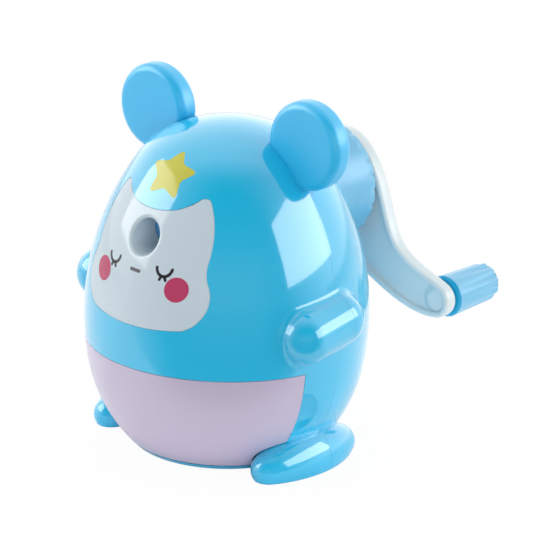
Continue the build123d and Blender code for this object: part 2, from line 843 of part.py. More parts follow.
def cutter_plane(along):
    """Plane square to the cutter's own axis, at a distance along it."""
    return Plane(origin=cutter_origin + cutter_along * along, x_dir=(1, 0, 0), z_dir=cutter_along)


def cutter_bar(along_from, along_to, radius):
    """A cylinder on the cutter's own axis."""
    with BuildPart() as bar:
        with BuildSketch(cutter_plane(along_from)):
            Circle(radius)
        extrude(amount=along_to - along_from)
    return bar.part


with BuildPart() as helical_cutter:
    with BuildSketch(cutter_plane(cutter_start)) as blades:
        Circle(cutter_radius - 1.0)
        with PolarLocations(cutter_radius - 1.0, cutter_teeth):
            Polygon((-0.5, -1.1), (1.0, 0.55), (0.9, 0.85), (-0.5, 0.85), align=None)
    with BuildLine() as spine:
        Line(cutter_origin + cutter_along * cutter_start, cutter_origin + cutter_along * cutter_end)
    sweep(
        sections=blades.sketch,
        path=spine.wires()[0],
        binormal=Helix(
            cutter_lead,
            cutter_length,
            cutter_radius,
            center=cutter_origin + cutter_along * cutter_start,
            direction=cutter_along,
        ),
    )
    add(cutter_bar(cutter_end - 0.1, pinion_start - seat_gap, axle_radius + 1.1))
    add(cutter_bar(cutter_start - 1, pinion_start + 1, axle_radius + spin_gap), mode=Mode.SUBTRACT)

with BuildPart() as cutter_pinion:
    with BuildSketch(cutter_plane(pinion_start)):
        Circle(pinion_pitch - tooth_fall)
        with PolarLocations(0, pinion_teeth):
            Polygon(
                (pinion_pitch - tooth_fall - 0.3, tooth_half + 0.2),
                (pinion_pitch - tooth_fall - 0.3, -tooth_half - 0.2),
                (pinion_pitch + tooth_rise, 0.25 - tooth_half),
                (pinion_pitch + tooth_rise, tooth_half - 0.25),
                align=None,
            )
        Circle(axle_radius + spin_gap, mode=Mode.SUBTRACT)
    extrude(amount=pinion_width)

# ---------------------------------------------------------------- carrier and axle
carrier_front_y = bulkhead_rear_y + 0.2
disc_front_y = bearing_rear_y + 0.3
disc_rear_y = disc_front_y + carrier_disc_thickness
plate_rear_y = carrier_rear_y + carrier_plate
hub_rear_y = hub_front_y + hub_thickness
cheek_gap = cutter_radius + 0.8
arm_rear_y = arm_front_y + arm_thickness
shaft_end_y = arm_rear_y - 3.4
boss_start_y = collar_rear_y + 0.4
pencil_bore = guide_radius + carrier_bore_gap
washer_y = collar_bearing_y - 0.2 - washer_thickness

with BuildPart() as cutter_carrier:
    with BuildSketch(Plane.XY.offset(axis_z)):
        with BuildLine():
            Polyline(
                (0, carrier_front_y),
                (bearing_radius - running_gap, carrier_front_y),
                (bearing_radius - running_gap, disc_front_y),
                (carrier_disc_radius, disc_front_y),
                (carrier_disc_radius, disc_rear_y),
                (carrier_rear_radius, carrier_rear_y),
                (carrier_rear_radius, plate_rear_y),
                (hub_radius, plate_rear_y),
                (hub_radius, hub_rear_y),
                (shaft_radius + 2.0, hub_rear_y),
                (shaft_radius + 2.0, washer_y),
                (shaft_radius, washer_y),
                (shaft_radius, shaft_end_y),
                (0, shaft_end_y),
                close=True,
            )
        make_face()
    revolve(axis=Axis((0, 0, axis_z), (0, 1, 0)))
    add(block(-cheek_gap, cheek_gap, disc_rear_y, carrier_rear_y, 0, 2 * axis_z), mode=Mode.SUBTRACT)
    add(round_bar(0, axis_z, -far, carrier_rear_y - 1, pencil_bore), mode=Mode.SUBTRACT)
    with BuildSketch(Plane.XZ.offset(-plate_rear_y)):
        with Locations((0, axis_z + gear_offset)):
            Circle(pinion_pitch + tooth_rise + 0.7)
    extrude(amount=plate_rear_y - hub_front_y, mode=Mode.SUBTRACT)
    add(cutter_bar(cutter_end - 1, pinion_start, axle_radius + 1.6), mode=Mode.SUBTRACT)
    add(cutter_bar(disc_front_y - far, hub_rear_y + 0.4, axle_radius), mode=Mode.SUBTRACT)
    add(
        block(-far, far, boss_start_y, far, axis_z + shaft_flat, axis_z + far),
        mode=Mode.SUBTRACT,
    )
    add(
        round_bar(0, axis_z, collar_rear_y - 5.0, far, screw_radius + pilot_gap),
        mode=Mode.SUBTRACT,
    )

with BuildPart() as cutter_axle:
    add(cutter_bar(disc_front_y + 0.3, hub_front_y + 1.0, axle_radius - seat_gap))

with BuildPart() as cutter_washers:
    for along in (cutter_start - seat_gap - washer_thickness, pinion_start + pinion_width + seat_gap):
        add(cutter_bar(along, along + washer_thickness, axle_radius + 1.2))
    add(cutter_bar(-20, hub_rear_y, axle_radius), mode=Mode.SUBTRACT)

with BuildPart() as thrust_washer:
    add(round_bar(0, axis_z, washer_y + seat_gap, washer_y + seat_gap + washer_thickness, shaft_radius + 2.4))
    add(round_bar(0, axis_z, washer_y, collar_bearing_y, shaft_radius + seat_gap), mode=Mode.SUBTRACT)

# ---------------------------------------------------------------- crank arm
knob_x = crank_throw * math.cos(math.radians(crank_angle))
knob_z = axis_z + crank_throw * math.sin(math.radians(crank_angle))


def arm_form(inset, y_from, y_to):
    """The arm's outline, a round hub that sweeps down to a small round end, pulled in and given a depth."""
    with BuildPart() as form:
        with BuildSketch(Plane(origin=(0, y_from, axis_z), x_dir=(-1, 0, 0), z_dir=(0, 1, 0))):
            with BuildLine():
                hub = CenterArc((0, 0), crank_hub_radius - inset, -10, 110)
                end = CenterArc((-knob_x, knob_z - axis_z), crank_end_radius - inset, 112, 153)
                upper = moved([hub @ 1] + arm_upper_edge + [end @ 0], inset)
                lower = moved([end @ 1] + arm_lower_edge + [hub @ 0], inset)
                Spline([hub @ 1] + upper + [end @ 0], tangents=[hub % 1, end % 0])
                Spline([end @ 1] + lower + [hub @ 0], tangents=[end % 1, hub % 0])
            make_face()
        extrude(amount=y_to - y_from)
    return form.part


with BuildPart() as crank_arm:
    add(arm_form(0, arm_front_y, arm_rear_y))
    fillet(crank_arm.faces().sort_by(Axis.Y)[-1].edges(), arm_edge_round)
    add(arm_form(arm_rim, arm_front_y, arm_rear_y - arm_web), mode=Mode.SUBTRACT)
    add(round_bar(0, axis_z, boss_start_y, arm_rear_y - 1, bearing_radius))
    add(round_bar(knob_x, knob_z, arm_front_y + 0.8, arm_rear_y - 1, knob_pin_radius + 2.0))
    with BuildSketch(axis_plane.offset(boss_start_y)):
        Circle(shaft_radius + seat_gap)
        with Locations((0, -shaft_flat - seat_gap)):
            Rectangle(far, far, align=(Align.CENTER, Align.MAX), mode=Mode.SUBTRACT)
    extrude(amount=shaft_end_y + 0.1 - boss_start_y, mode=Mode.SUBTRACT)
    add(
        round_bar(0, axis_z, arm_rear_y - screw_head_height - 0.3, far, screw_head_radius + 2.3),
        mode=Mode.SUBTRACT,
    )
    add(round_bar(0, axis_z, 0, far, screw_radius + screw_hole_gap), mode=Mode.SUBTRACT)
    add(round_bar(knob_x, knob_z, 0, far, knob_pin_radius), mode=Mode.SUBTRACT)

# ---------------------------------------------------------------- knob
knob_axis = Axis((knob_x, 0, knob_z), (0, 1, 0))
pin_head_radius = knob_pin_radius + 1.3
pin_head_y = knob_rear_y - 2.2
with BuildPart() as knob:
    with BuildSketch(Plane(origin=(knob_x, 0, knob_z), x_dir=(1, 0, 0), z_dir=(0, 0, 1))):
        with BuildLine():
            Polyline(
                (knob_pin_radius + running_gap, knob_front_y),
                (knob_near_radius - 1.2, knob_front_y),
                (knob_near_radius, knob_front_y + 1.2),
                (knob_far_radius, knob_rear_y),
                (pin_head_radius + 0.5, knob_rear_y),
                (pin_head_radius + 0.5, pin_head_y - 0.3),
                (knob_pin_radius + running_gap, pin_head_y - 0.3),
                close=True,
            )
        make_face()
    revolve(axis=knob_axis)
    far_rim = knob.edges().filter_by(GeomType.CIRCLE).group_by(Axis.Y)[-1].sort_by(SortBy.RADIUS)[-1]
    fillet(far_rim, 1.0)
    with BuildSketch(Plane(origin=(knob_x, knob_front_y, knob_z), x_dir=(1, 0, 0), z_dir=(0, 1, 0))):
        with PolarLocations(knob_near_radius + knob_flute_radius - 0.6, knob_flutes):
            Circle(knob_flute_radius)
    extrude(amount=far, mode=Mode.SUBTRACT)

with BuildPart() as knob_pin:
    add(round_bar(knob_x, knob_z, arm_front_y + 1.0, pin_head_y, knob_pin_radius - seat_gap / 5))
    add(round_bar(knob_x, knob_z, pin_head_y, knob_rear_y - 0.6, pin_head_radius))

# ---------------------------------------------------------------- screws and washers
def screw_form(place, shank):
    """A pan-head screw whose head sits on the plane and whose shank runs along the plane's normal."""
    with BuildPart() as form:
        with BuildSketch(Plane(origin=place.origin, x_dir=place.x_dir, z_dir=-place.z_dir)):
            Circle(screw_head_radius)
        extrude(amount=screw_head_height)
        with BuildSketch(place):
            Circle(screw_radius)
        extrude(amount=shank)
    return form.part


with BuildPart() as case_screws:
    for x, z in case_screws_xz:
        add(screw_form(Plane(origin=(x, case_head_y, z), z_dir=(0, -1, 0)), screw_bite + post_floor - 1.5))

with BuildPart() as base_screws:
    for x, y in base_screws_xy:
        add(screw_form(Plane(origin=(x, y, base_under + screw_head_height + screw_hole_gap)), screw_bite))

with BuildPart() as seat_screws:
    for x, z in seat_screws_xz:
        add(
            screw_form(
                Plane(origin=(x, bulkhead_y + tab_thickness, z), z_dir=(0, -1, 0)),
                screw_bite + tab_thickness - 1.0,
            )
        )

with BuildPart() as crank_screw:
    add(
        screw_form(
            Plane(origin=(0, arm_rear_y - screw_head_height - 0.3, axis_z), z_dir=(0, -1, 0)),
            screw_bite + 1.5,
        )
    )

# ---------------------------------------------------------------- labels and files
front_shell.part.label = "front_shell"
export_step(front_shell.part, "parts/front_shell.step")
rear_shell.part.label = "rear_shell"
export_step(rear_shell.part, "parts/rear_shell.step")
face_plate.part.label = "face_plate"
export_step(face_plate.part, "parts/face_plate.step")
left_ear.part.label = "left_ear"
export_step(left_ear.part, "parts/left_ear.step")
right_ear.part.label = "right_ear"
export_step(right_ear.part, "parts/right_ear.step")
drawer.part.label = "drawer"
export_step(drawer.part, "parts/drawer.step")
base_plate.part.label = "base_plate"
export_step(base_plate.part, "parts/base_plate.step")
anti_slip_pad.part.label = "anti_slip_pad"
export_step(anti_slip_pad.part, "parts/anti_slip_pad.step")
cutter_seat.part.label = "cutter_seat"
export_step(cutter_seat.part, "parts/cutter_seat.step")
cutter_collar.part.label = "cutter_collar"
export_step(cutter_collar.part, "parts/cutter_collar.step")
ring_gear.part.label = "ring_gear"
export_step(ring_gear.part, "parts/ring_gear.step")
cutter_carrier.part.label = "cutter_carrier"
export_step(cutter_carrier.part, "parts/cutter_carrier.step")
helical_cutter.part.label = "helical_cutter"
export_step(helical_cutter.part, "parts/helical_cutter.step")
cutter_pinion.part.label = "cutter_pinion"
export_step(cutter_pinion.part, "parts/cutter_pinion.step")
cutter_axle.part.label = "cutter_axle"
export_step(cutter_axle.part, "parts/cutter_axle.step")
cutter_washers.part.label = "cutter_washers"
export_step(cutter_washers.part, "parts/cutter_washers.step")
thrust_washer.part.label = "thrust_washer"
export_step(thrust_washer.part, "parts/thrust_washer.step")
crank_arm.part.label = "crank_arm"
export_step(crank_arm.part, "parts/crank_arm.step")
crank_screw.part.label = "crank_screw"
export_step(crank_screw.part, "parts/crank_screw.step")
knob.part.label = "knob"
export_step(knob.part, "parts/knob.step")
knob_pin.part.label = "knob_pin"
export_step(knob_pin.part, "parts/knob_pin.step")
case_screws.part.label = "case_screws"
export_step(case_screws.part, "parts/case_screws.step")
base_screws.part.label = "base_screws"
export_step(base_screws.part, "parts/base_screws.step")
seat_screws.part.label = "seat_screws"
export_step(seat_screws.part, "parts/seat_screws.step")
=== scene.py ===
import math

import bmesh
import bpy
import numpy as np
from mathutils import Matrix, Vector


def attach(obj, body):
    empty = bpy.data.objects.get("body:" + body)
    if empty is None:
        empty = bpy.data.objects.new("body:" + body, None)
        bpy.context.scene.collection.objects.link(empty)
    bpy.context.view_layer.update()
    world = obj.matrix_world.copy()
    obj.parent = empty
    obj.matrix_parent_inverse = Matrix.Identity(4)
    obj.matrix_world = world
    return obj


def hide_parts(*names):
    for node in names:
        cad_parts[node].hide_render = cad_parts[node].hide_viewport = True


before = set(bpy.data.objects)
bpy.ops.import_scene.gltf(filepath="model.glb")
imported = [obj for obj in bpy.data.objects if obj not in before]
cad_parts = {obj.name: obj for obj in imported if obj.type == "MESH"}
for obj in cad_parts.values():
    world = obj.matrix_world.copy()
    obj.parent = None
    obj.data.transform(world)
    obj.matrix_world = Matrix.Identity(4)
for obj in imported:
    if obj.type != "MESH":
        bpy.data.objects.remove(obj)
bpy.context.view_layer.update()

# ---------------------------------------------------------------- front and rear shells
# Two glossy ABS mouldings make the egg-shaped body with its arms and feet. They are clamped
# together by four screws from behind, over the tabs of the ears.
mm = 0.001
crown_height = 103.8
crown, shoulder, flank, belly = (43.0, 27.0), (24.0, 27.3), (86.3, 45.5), (47.5, 75.7)  # radius and sweep


def egg_profile():
    """Centre, radius, first and last lean of each arc of the egg, joined without a kink."""
    arcs = []
    x, z, lean = 0.0, crown_height, 0.0
    for radius, sweep in (crown, shoulder, flank, belly):
        start, end = math.radians(lean), math.radians(lean + sweep)
        cx, cz = x - radius * math.sin(start), z - radius * math.cos(start)
        arcs.append((cx, cz, radius, start, end))
        x, z, lean = cx + radius * math.sin(end), cz + radius * math.cos(end), lean + sweep
    return arcs


profile = egg_profile()
shoulder_x, shoulder_z, shoulder_radius = profile[1][:3]
flank_x, flank_z, flank_radius = profile[2][:3]
crown_end, shoulder_end, flank_end = np.cumsum([crown[1], shoulder[1], flank[1]])


def egg_reach(z, inset=0.0):
    """Radius of the egg at each height, pulled in by inset."""
    z = np.asarray(z, float)
    reach = np.zeros_like(z)
    for cx, cz, radius, start, end in profile:
        r = radius - inset
        low, high = cz + r * math.cos(end), cz + r * math.cos(start)
        inside = (z >= low) & (z <= high)
        reach = np.where(inside, cx + np.sqrt(np.maximum(r * r - (z - cz) ** 2, 0)), reach)
    return reach


def front_of_egg(x, z, inset=0.0):
    """Points of the egg's front surface above places (x, z) seen from the front."""
    y = -np.sqrt(np.maximum(egg_reach(z, inset) ** 2 - np.asarray(x) ** 2, 0))
    return np.stack([np.asarray(x, float), y, np.asarray(z, float)], axis=-1)


def egg_distance(points):
    """How far points stand off the egg, and the way out."""
    reach = np.hypot(points[..., 0], points[..., 1])
    best = np.full(reach.shape, 1e9)
    out = np.zeros(points.shape)
    for cx, cz, radius, start, end in profile:
        across, up = reach - cx, points[..., 2] - cz
        lean = np.arctan2(across, up)
        here = (lean >= start - 1e-9) & (lean <= end + 1e-9)
        length = np.hypot(across, up)
        best = np.where(here, length - radius, best)
        level_way = points[..., :2] * across[..., None] / np.maximum(reach, 1e-9)[..., None]
        way = np.concatenate([level_way, up[..., None]], axis=-1)
        out = np.where(here[..., None], way / length[..., None], out)
    return best, out


def onto_egg(points, proud=0.0):
    """Moves points straight out or in until they stand proud of the egg by the given amount."""
    for _ in range(4):
        off, out = egg_distance(points)
        points = points - (off - proud)[..., None] * out
    return points


def placed(name, data):
    """A new object with this data, set in the scene."""
    item = bpy.data.objects.new(name, data)
    bpy.context.scene.collection.objects.link(item)
    return item


def mesh_piece(name, points, faces):
    """A mesh object from points in millimetres, its faces turned outwards."""
    mesh = bpy.data.meshes.new(name)
    mesh.from_pydata([tuple(p) for p in np.asarray(points) * mm], [], faces)
    work = bmesh.new()
    work.from_mesh(mesh)
    if work.calc_volume(signed=True) < 0:
        bmesh.ops.reverse_faces(work, faces=work.faces[:])
    work.to_mesh(mesh)
    work.free()
    return placed(name, mesh)


def loft(name, rings, ends=("point", "point")):
    """Skins a row of closed rings. Each end is closed to a point or flat, or the row is a loop."""
    rings = np.asarray(rings, float)
    rows, around = rings.shape[:2]
    points = [tuple(p) for p in rings.reshape(-1, 3)]
    faces = []
    last = rows if ends == "loop" else rows - 1
    for i in range(last):
        a, b = i * around, (i + 1) % rows * around
        for j in range(around):
            k = (j + 1) % around
            faces.append((a + j, a + k, b + k, b + j))
    if ends != "loop":
        for end, base in zip(ends, (0, (rows - 1) * around)):
            ring = list(range(base, base + around))
            if base == 0:
                ring.reverse()
            if end == "flat":
                faces.append(tuple(ring))
            else:
                points.append(tuple(rings[0 if base == 0 else -1].mean(axis=0)))
                tip = len(points) - 1
                for j in range(around):
                    faces.append((ring[j], ring[(j + 1) % around], tip))
    return mesh_piece(name, points, faces)


def turned(name, line, x, z, around=96, ends=("point", "point")):
    """A lathe-turned form about an axis along Y through (x, z), from a line of (y, radius)."""
    angle = np.linspace(0, 2 * math.pi, around, endpoint=False)
    rings = [
        np.stack([x + r * np.cos(angle), np.full(around, y), z + r * np.sin(angle)], axis=-1)
        for y, r in line
    ]
    return loft(name, rings, ends)


def bar(x, z, y_from, y_to, radius, around=96):
    """A round bar along Y."""
    return turned("bar", [(y_from, radius), (y_to, radius)], x, z, around, ("flat", "flat"))


def block(x_from, x_to, y_from, y_to, z_from, z_to):
    """A square block, its two x in either order."""
    low, high = min(x_from, x_to), max(x_from, x_to)
    rings = [[(low, y_from, z), (high, y_from, z), (high, y_to, z), (low, y_to, z)] for z in (z_from, z_to)]
    return loft("block", rings, ("flat", "flat"))


def made_plain(piece):
    """Puts the result of a piece's modifiers on it as its plain mesh."""
    bpy.context.view_layer.update()
    result = bpy.data.meshes.new_from_object(piece.evaluated_get(bpy.context.evaluated_depsgraph_get()))
    piece.modifiers.clear()
    used, piece.data = piece.data, result
    bpy.data.meshes.remove(used)
    return piece


def carve(piece, tool, how="DIFFERENCE"):
    """Cuts, joins or crosses a piece with a tool, which is used up."""
    cut = piece.modifiers.new("cut", "BOOLEAN")
    cut.object, cut.operation, cut.solver = tool, how, "MANIFOLD"
    made_plain(piece)
    spent = tool.data
    bpy.data.objects.remove(tool)
    bpy.data.meshes.remove(spent)
    return piece


def shade(piece, crease=32.0):
    """Smooth shading that breaks at real corners."""
    work = bmesh.new()
    work.from_mesh(piece.data)
    bmesh.ops.remove_doubles(work, verts=work.verts, dist=2e-7)
    bmesh.ops.dissolve_degenerate(work, edges=work.edges, dist=1e-7)
    work.to_mesh(piece.data)
    work.free()
    piece.data.name = piece.name
    piece.data.polygons.foreach_set("use_smooth", [True] * len(piece.data.polygons))
    piece.data.set_sharp_from_angle(angle=math.radians(crease))
    return piece


def steps(stops):
    """Values through stops of (value, spacing up to the next stop)."""
    values = []
    for (start, spacing), (end, _) in zip(stops, stops[1:]):
        count = max(int(round(abs(end - start) / spacing)), 1)
        values.extend(np.linspace(start, end, count, endpoint=False))
    return values + [stops[-1][0]]


def egg(inset, leans, turns):
    """The closed egg from rows at the given leans and columns at the given turns, in degrees."""
    turns = np.radians(turns)
    rings = []
    for lean in np.radians(leans):
        for cx, cz, radius, start, end in profile:
            if start - 1e-9 <= lean <= end + 1e-9:
                reach = cx + (radius - inset) * math.sin(lean)
                height = cz + (radius - inset) * math.cos(lean)
        ring = [reach * np.cos(turns), reach * np.sin(turns), np.full(len(turns), height)]
        rings.append(np.stack(ring, axis=-1))
    return np.array(rings)


even_turns = np.arange(0, 360, 3.0)
even_leans = np.arange(2.0, 172.0, 2.0)


def plain_egg(inset):
    """The whole egg, pulled in by inset."""
    return loft("egg", egg(inset, even_leans, even_turns))


arm_radius = 8.3
arm_sink = 1.7
arm_fillet = 1.7
arm_x = float(egg_reach(48.8)) - arm_sink
arm_front = np.array([arm_x, -11.8, 46.8])
arm_rear = np.array([arm_x, 2.5, 48.8])


def arm_skin(points):
    """Signed distance to the flank with the right arm blended in by a rolling-ball fillet."""
    reach = np.hypot(points[..., 0], points[..., 1])
    body = np.hypot(reach - flank_x, points[..., 2] - flank_z) - flank_radius
    along = arm_rear - arm_front
    share = np.clip(((points - arm_front) @ along) / (along @ along), 0, 1)
    limb = np.linalg.norm(points - arm_front - share[..., None] * along, axis=-1) - arm_radius
    round_in = np.hypot(np.maximum(arm_fillet - body, 0), np.maximum(arm_fillet - limb, 0))
    return np.maximum(arm_fillet, np.minimum(body, limb)) - round_in


def raise_arm(patch):
    """Pushes a patch of the flank out over the arm, then evens its net along the new surface."""
    out = egg_distance(patch)[1]
    low, high = np.zeros(patch.shape[:2]), np.full(patch.shape[:2], 12.0)
    for _ in range(30):
        middle = (low + high) / 2
        under = arm_skin(patch + middle[..., None] * out) < -1e-7
        low, high = np.where(under, middle, low), np.where(under, high, middle)
    patch = patch + low[..., None] * out
    tiny = 1e-4
    for _ in range(80):
        mean = (patch[:-2, 1:-1] + patch[2:, 1:-1] + patch[1:-1, :-2] + patch[1:-1, 2:]) / 4
        core = patch[1:-1, 1:-1] * 0.4 + mean * 0.6
        for _ in range(2):
            off = arm_skin(core)
            slope = np.stack([(arm_skin(core + tiny * axis) - off) / tiny for axis in np.eye(3)], axis=-1)
            core = core - (off / np.maximum((slope**2).sum(-1), 0.2))[..., None] * slope
        patch[1:-1, 1:-1] = core
    return patch


arm_start, arm_end = -31.0, 22.0  # turns from the right that hold the right arm
arm_top, arm_bottom = 75.5, 96.5  # leans from the crown that hold both arms
belly_stops = [(flank_end, 1.2), (146, 3), (172, 3)]
leans = steps(
    [(0.9, 1.2), (crown_end, 2.0), (shoulder_end, 0.7), (arm_top, 0.3), (arm_bottom, 0.7)] + belly_stops
)
turns = steps(
    [(arm_start, 0.55), (arm_end, 1.5), (180 - arm_end, 0.55), (180 - arm_start, 1.5), (360 + arm_start, 1)]
)[:-1]
net = egg(0, leans, turns)
rows = [i for i, lean in enumerate(leans) if arm_top <= lean <= arm_bottom]
right = [i for i, turn in enumerate(turns) if arm_start <= turn <= arm_end]
left = [i for i, turn in enumerate(turns) if 180 - arm_end <= turn <= 180 - arm_start]
net[np.ix_(rows, right)] = raise_arm(net[np.ix_(rows, right)])
mirror = np.array([-1.0, 1.0, 1.0])
net[np.ix_(rows, left)] = raise_arm(net[np.ix_(rows, left)] * mirror) * mirror
skin = loft("skin", net)

wall = 2.0
seam_y = 1.2
seam_gap = 0.02
far = 80.0
drawer_top = 34.8
drawer_edge_y = -11.7
shell_bottom = 2.15
axis_z = 74.3
foot_x = float(egg_reach(2.0)) + 2.649
foot_y = -1.1


def arc_about(centre, radius, start, end, count):
    """Flat places on an arc about a centre, between two angles in degrees."""
    angle = np.radians(np.linspace(start, end, count))
    return [(centre[0] + radius * math.cos(a), centre[1] + radius * math.sin(a)) for a in angle]


def foot(side, shrink=0.0):
    """A long round foot with a ball at each end and a bowed side, cut level at the table."""
    tip, toe, lift = 5.5, 16.2, 3.05
    side_arc, drop = 40.3, 30.8
    turn = math.degrees(math.atan2(toe, drop))
    line = arc_about((-toe, 0), tip - shrink, 177, 90 + turn, 14)
    heel = [(-y, r) for y, r in reversed(line)]
    line += arc_about((0, -drop), side_arc - shrink, 90 + turn, 90 - turn, 40)[1:-1] + heel
    form = turned("foot", [(y + foot_y, r) for y, r in line], side * foot_x, lift, 128)
    return carve(form, block(-far, far, -far, far, -far, 0))


scoop_radius, scoop_depth, scoop_y, scoop_z = 8.0, 2.6, -12.0, 21.5
scoop_ball = (scoop_radius**2 + scoop_depth**2) / (2 * scoop_depth)
scoop_rim = np.array([math.sqrt(float(egg_reach(scoop_z)) ** 2 - scoop_y**2), scoop_y, scoop_z])
scoop_centre = scoop_rim + egg_distance(scoop_rim)[1] * (scoop_ball - scoop_depth)


def ball(centre, radius):
    """A ball that cuts a finger scoop."""
    lean = np.radians(np.arange(3, 178, 3.0))
    line = [(centre[1] - radius * math.cos(a), radius * math.sin(a)) for a in lean]
    return turned("ball", line, centre[0], centre[2], 128)


ear_lean = math.radians(43.5)
ear_reach = shoulder_radius + 8.4
ear_x = shoulder_x + ear_reach * math.sin(ear_lean)
ear_z = shoulder_z + ear_reach * math.cos(ear_lean)


def ear_tab(side, grow=0.0):
    """The flat tab under an ear that the shells clamp."""
    centre = np.array([side * ear_x, seam_y, ear_z])
    outward = np.array([side * math.sin(ear_lean), 0, math.cos(ear_lean)])
    across = np.array([outward[2], 0, -outward[0]])
    near, end, half = -15.9 - grow, -6.9 + grow, 4.5 + grow
    places = ((near, -half), (end, -half), (end, half), (near, half))
    corners = [centre + outward * a + across * b for a, b in places]
    thick = np.array([0, 1.5 + grow, 0])
    return loft("tab", [[c - thick for c in corners], [c + thick for c in corners]], ("flat", "flat"))


def arc_through(a, b, c, count=40):
    """Points on the arc from a through b to c."""
    a, b, c = (np.array(p, float) for p in (a, b, c))
    middle = np.linalg.solve(np.array([b - a, c - a]) * 2, [b @ b - a @ a, c @ c - a @ a])
    angles = np.unwrap([math.atan2(*(p - middle)[::-1]) for p in (a, b, c)])
    sweep = np.linspace(angles[0], angles[2], count)
    radius = np.linalg.norm(a - middle)
    return middle + radius * np.stack([np.cos(sweep), np.sin(sweep)], axis=-1)


def arc_leaving(line, end, count=40):
    """Points on the arc that carries a line on to end without a kink."""
    start, ahead = line[-1], line[-1] - line[-2]
    normal = np.array([-ahead[1], ahead[0]]) / np.linalg.norm(ahead)
    chord = np.array(end, float) - start
    middle = start + normal * (chord @ chord) / (2 * chord @ normal)
    towards = start + chord / 2 - middle
    radius = np.linalg.norm(start - middle)
    return arc_through(start, middle + towards / np.linalg.norm(towards) * radius, end, count)


def softened(line, corner, cut):
    """Rounds a corner of a line between the places that lie a cut's length before and after it."""
    length = np.r_[0, np.cumsum(np.linalg.norm(np.diff(line, axis=0), axis=1))]
    at = length[corner]
    first, last = (np.array([np.interp(at + s * cut, length, line[:, k]) for k in (0, 1)]) for s in (-1, 1))
    tip = line[corner]
    t = np.linspace(0, 1, 24)[:, None]
    a, b = first + (tip - first) * 0.5, last + (tip - last) * 0.5
    curve = first * (1 - t) ** 3 + 3 * a * t * (1 - t) ** 2 + 3 * b * t**2 * (1 - t) + last * t**3
    return np.vstack([line[length < at - cut], curve, line[length > at + cut]])


def middle_arc(end, middle_z):
    """The right half of an arc that crosses the middle at middle_z, out to its end."""
    return arc_through((-end[0], end[1]), (0, middle_z), end, 81)[40:]


# outline of the face plate from the pencil's axis, seen from the front: its right half from the brow down
brow_end, temple, side_end = (11.2, 9.9), (15.6, 14.0), (21.8, -4.3)
notch_end, chin_end = (23.2, -10.7), (12.9, -25.3)
brow = middle_arc(brow_end, 8.3)
edge = np.linspace(brow_end, temple, 20)
side_line = arc_through(temple, (20.2, 6.0), side_end)
notch = arc_leaving(side_line, notch_end)
cheek = arc_leaving(notch, chin_end, 80)
chin = middle_arc(chin_end, -25.8)[::-1]
half = np.vstack([brow, edge[1:], side_line[1:], notch[1:], cheek[1:], chin[1:]])
half = softened(half, len(half) - len(chin), 5.0)
half = softened(half, len(brow) + len(edge) - 2, 2.2)
half = softened(half, len(brow) - 1, 3.4)
whole = np.vstack([half, (half * [-1, 1])[::-1][1:-1]])


def evened(line, count):
    """A closed line with its points at even spacing."""
    closed = np.vstack([line, line[:1]])
    length = np.r_[0, np.cumsum(np.linalg.norm(np.diff(closed, axis=0), axis=1))]
    at = np.linspace(0, length[-1], count, endpoint=False)
    return np.stack([np.interp(at, length, closed[:, k]) for k in (0, 1)], axis=-1)


def grown(line, amount):
    """A closed clockwise line moved outwards by amount."""
    ahead = np.roll(line, -1, axis=0) - np.roll(line, 1, axis=0)
    ahead /= np.linalg.norm(ahead, axis=1)[:, None]
    return line + np.stack([-ahead[:, 1], ahead[:, 0]], axis=-1) * amount


face_line = evened(whole, 400)


def outline_ring(line, y):
    """A flat line set about the pencil's axis as a ring at y."""
    return np.stack([line[:, 0], np.full(len(line), y), line[:, 1] + axis_z], axis=-1)


def face_prism(grow):
    """The face plate's outline, grown and drawn out along Y."""
    line = grown(face_line, grow)
    return loft("prism", [outline_ring(line, y) for y in (-60.0, -8.0)], ("flat", "flat"))


plate_thickness, plate_gap, plate_floor = 1.6, 0.04, 1.4
seat_gap = 0.05
tube_radius, tube_gap = 7.0, 0.25
collar_opening, collar_wall_y = 19.1, 24.0
bulkhead_y = -13.0
bridge_half_y, bridge_top = 11.0, 2.5
shelf_depth = 3.5
case_screw_x, case_screw_y, case_screw_heights = 30.6, 3.7, (25.0, 56.0)
seat_screw_x, seat_screw_rises = 21.5, (-9.5, 9.5)
screw_post, screw_sleeve, low_post_y = 3.6, 4.4, -7.3
head_hole, shank_hole = 2.9, 1.5

# the hollow inside the walls, clear of the scoops, the screw posts and what carries collar and plate
cavity = plain_egg(wall)
for side in (-1, 1):
    carve(cavity, ball(scoop_centre * [side, 1, 1], scoop_ball + wall))
    for rise in seat_screw_rises:
        carve(cavity, bar(side * seat_screw_x, axis_z + rise, -far, bulkhead_y, screw_post))
    for z, start in zip(case_screw_heights, (low_post_y, -far)):
        carve(cavity, bar(side * case_screw_x, z, start, seam_y, screw_post))
        carve(cavity, bar(side * case_screw_x, z, seam_y - 0.1, far, screw_sleeve))
carve(cavity, bar(0, axis_z, collar_wall_y, far, collar_opening + wall, 128))
shelf = block(-far, far, -far, drawer_edge_y, drawer_top - 0.5, drawer_top + wall)
carve(cavity, carve(shelf, plain_egg(wall + shelf_depth)))
carve(cavity, carve(face_prism(wall), plain_egg(plate_thickness + seat_gap + plate_floor)))
for side in (-1, 1):
    carve(cavity, foot(side, wall), "UNION")

# both shells as one piece, open for the base plate, the drawer, the ears' tabs and the collar
carve(skin, block(-far, far, -far, far, -far, shell_bottom))
carve(skin, block(-far, far, -far, drawer_edge_y, -far, drawer_top))
for side in (-1, 1):
    carve(skin, foot(side), "UNION")
carve(skin, cavity)
for side in (-1, 1):
    carve(skin, block(0, side * foot_x, -bridge_half_y, bridge_half_y, -1.0, bridge_top))
    carve(skin, ear_tab(side, seat_gap))
carve(skin, bar(0, axis_z, seam_y, far, collar_opening, 160))

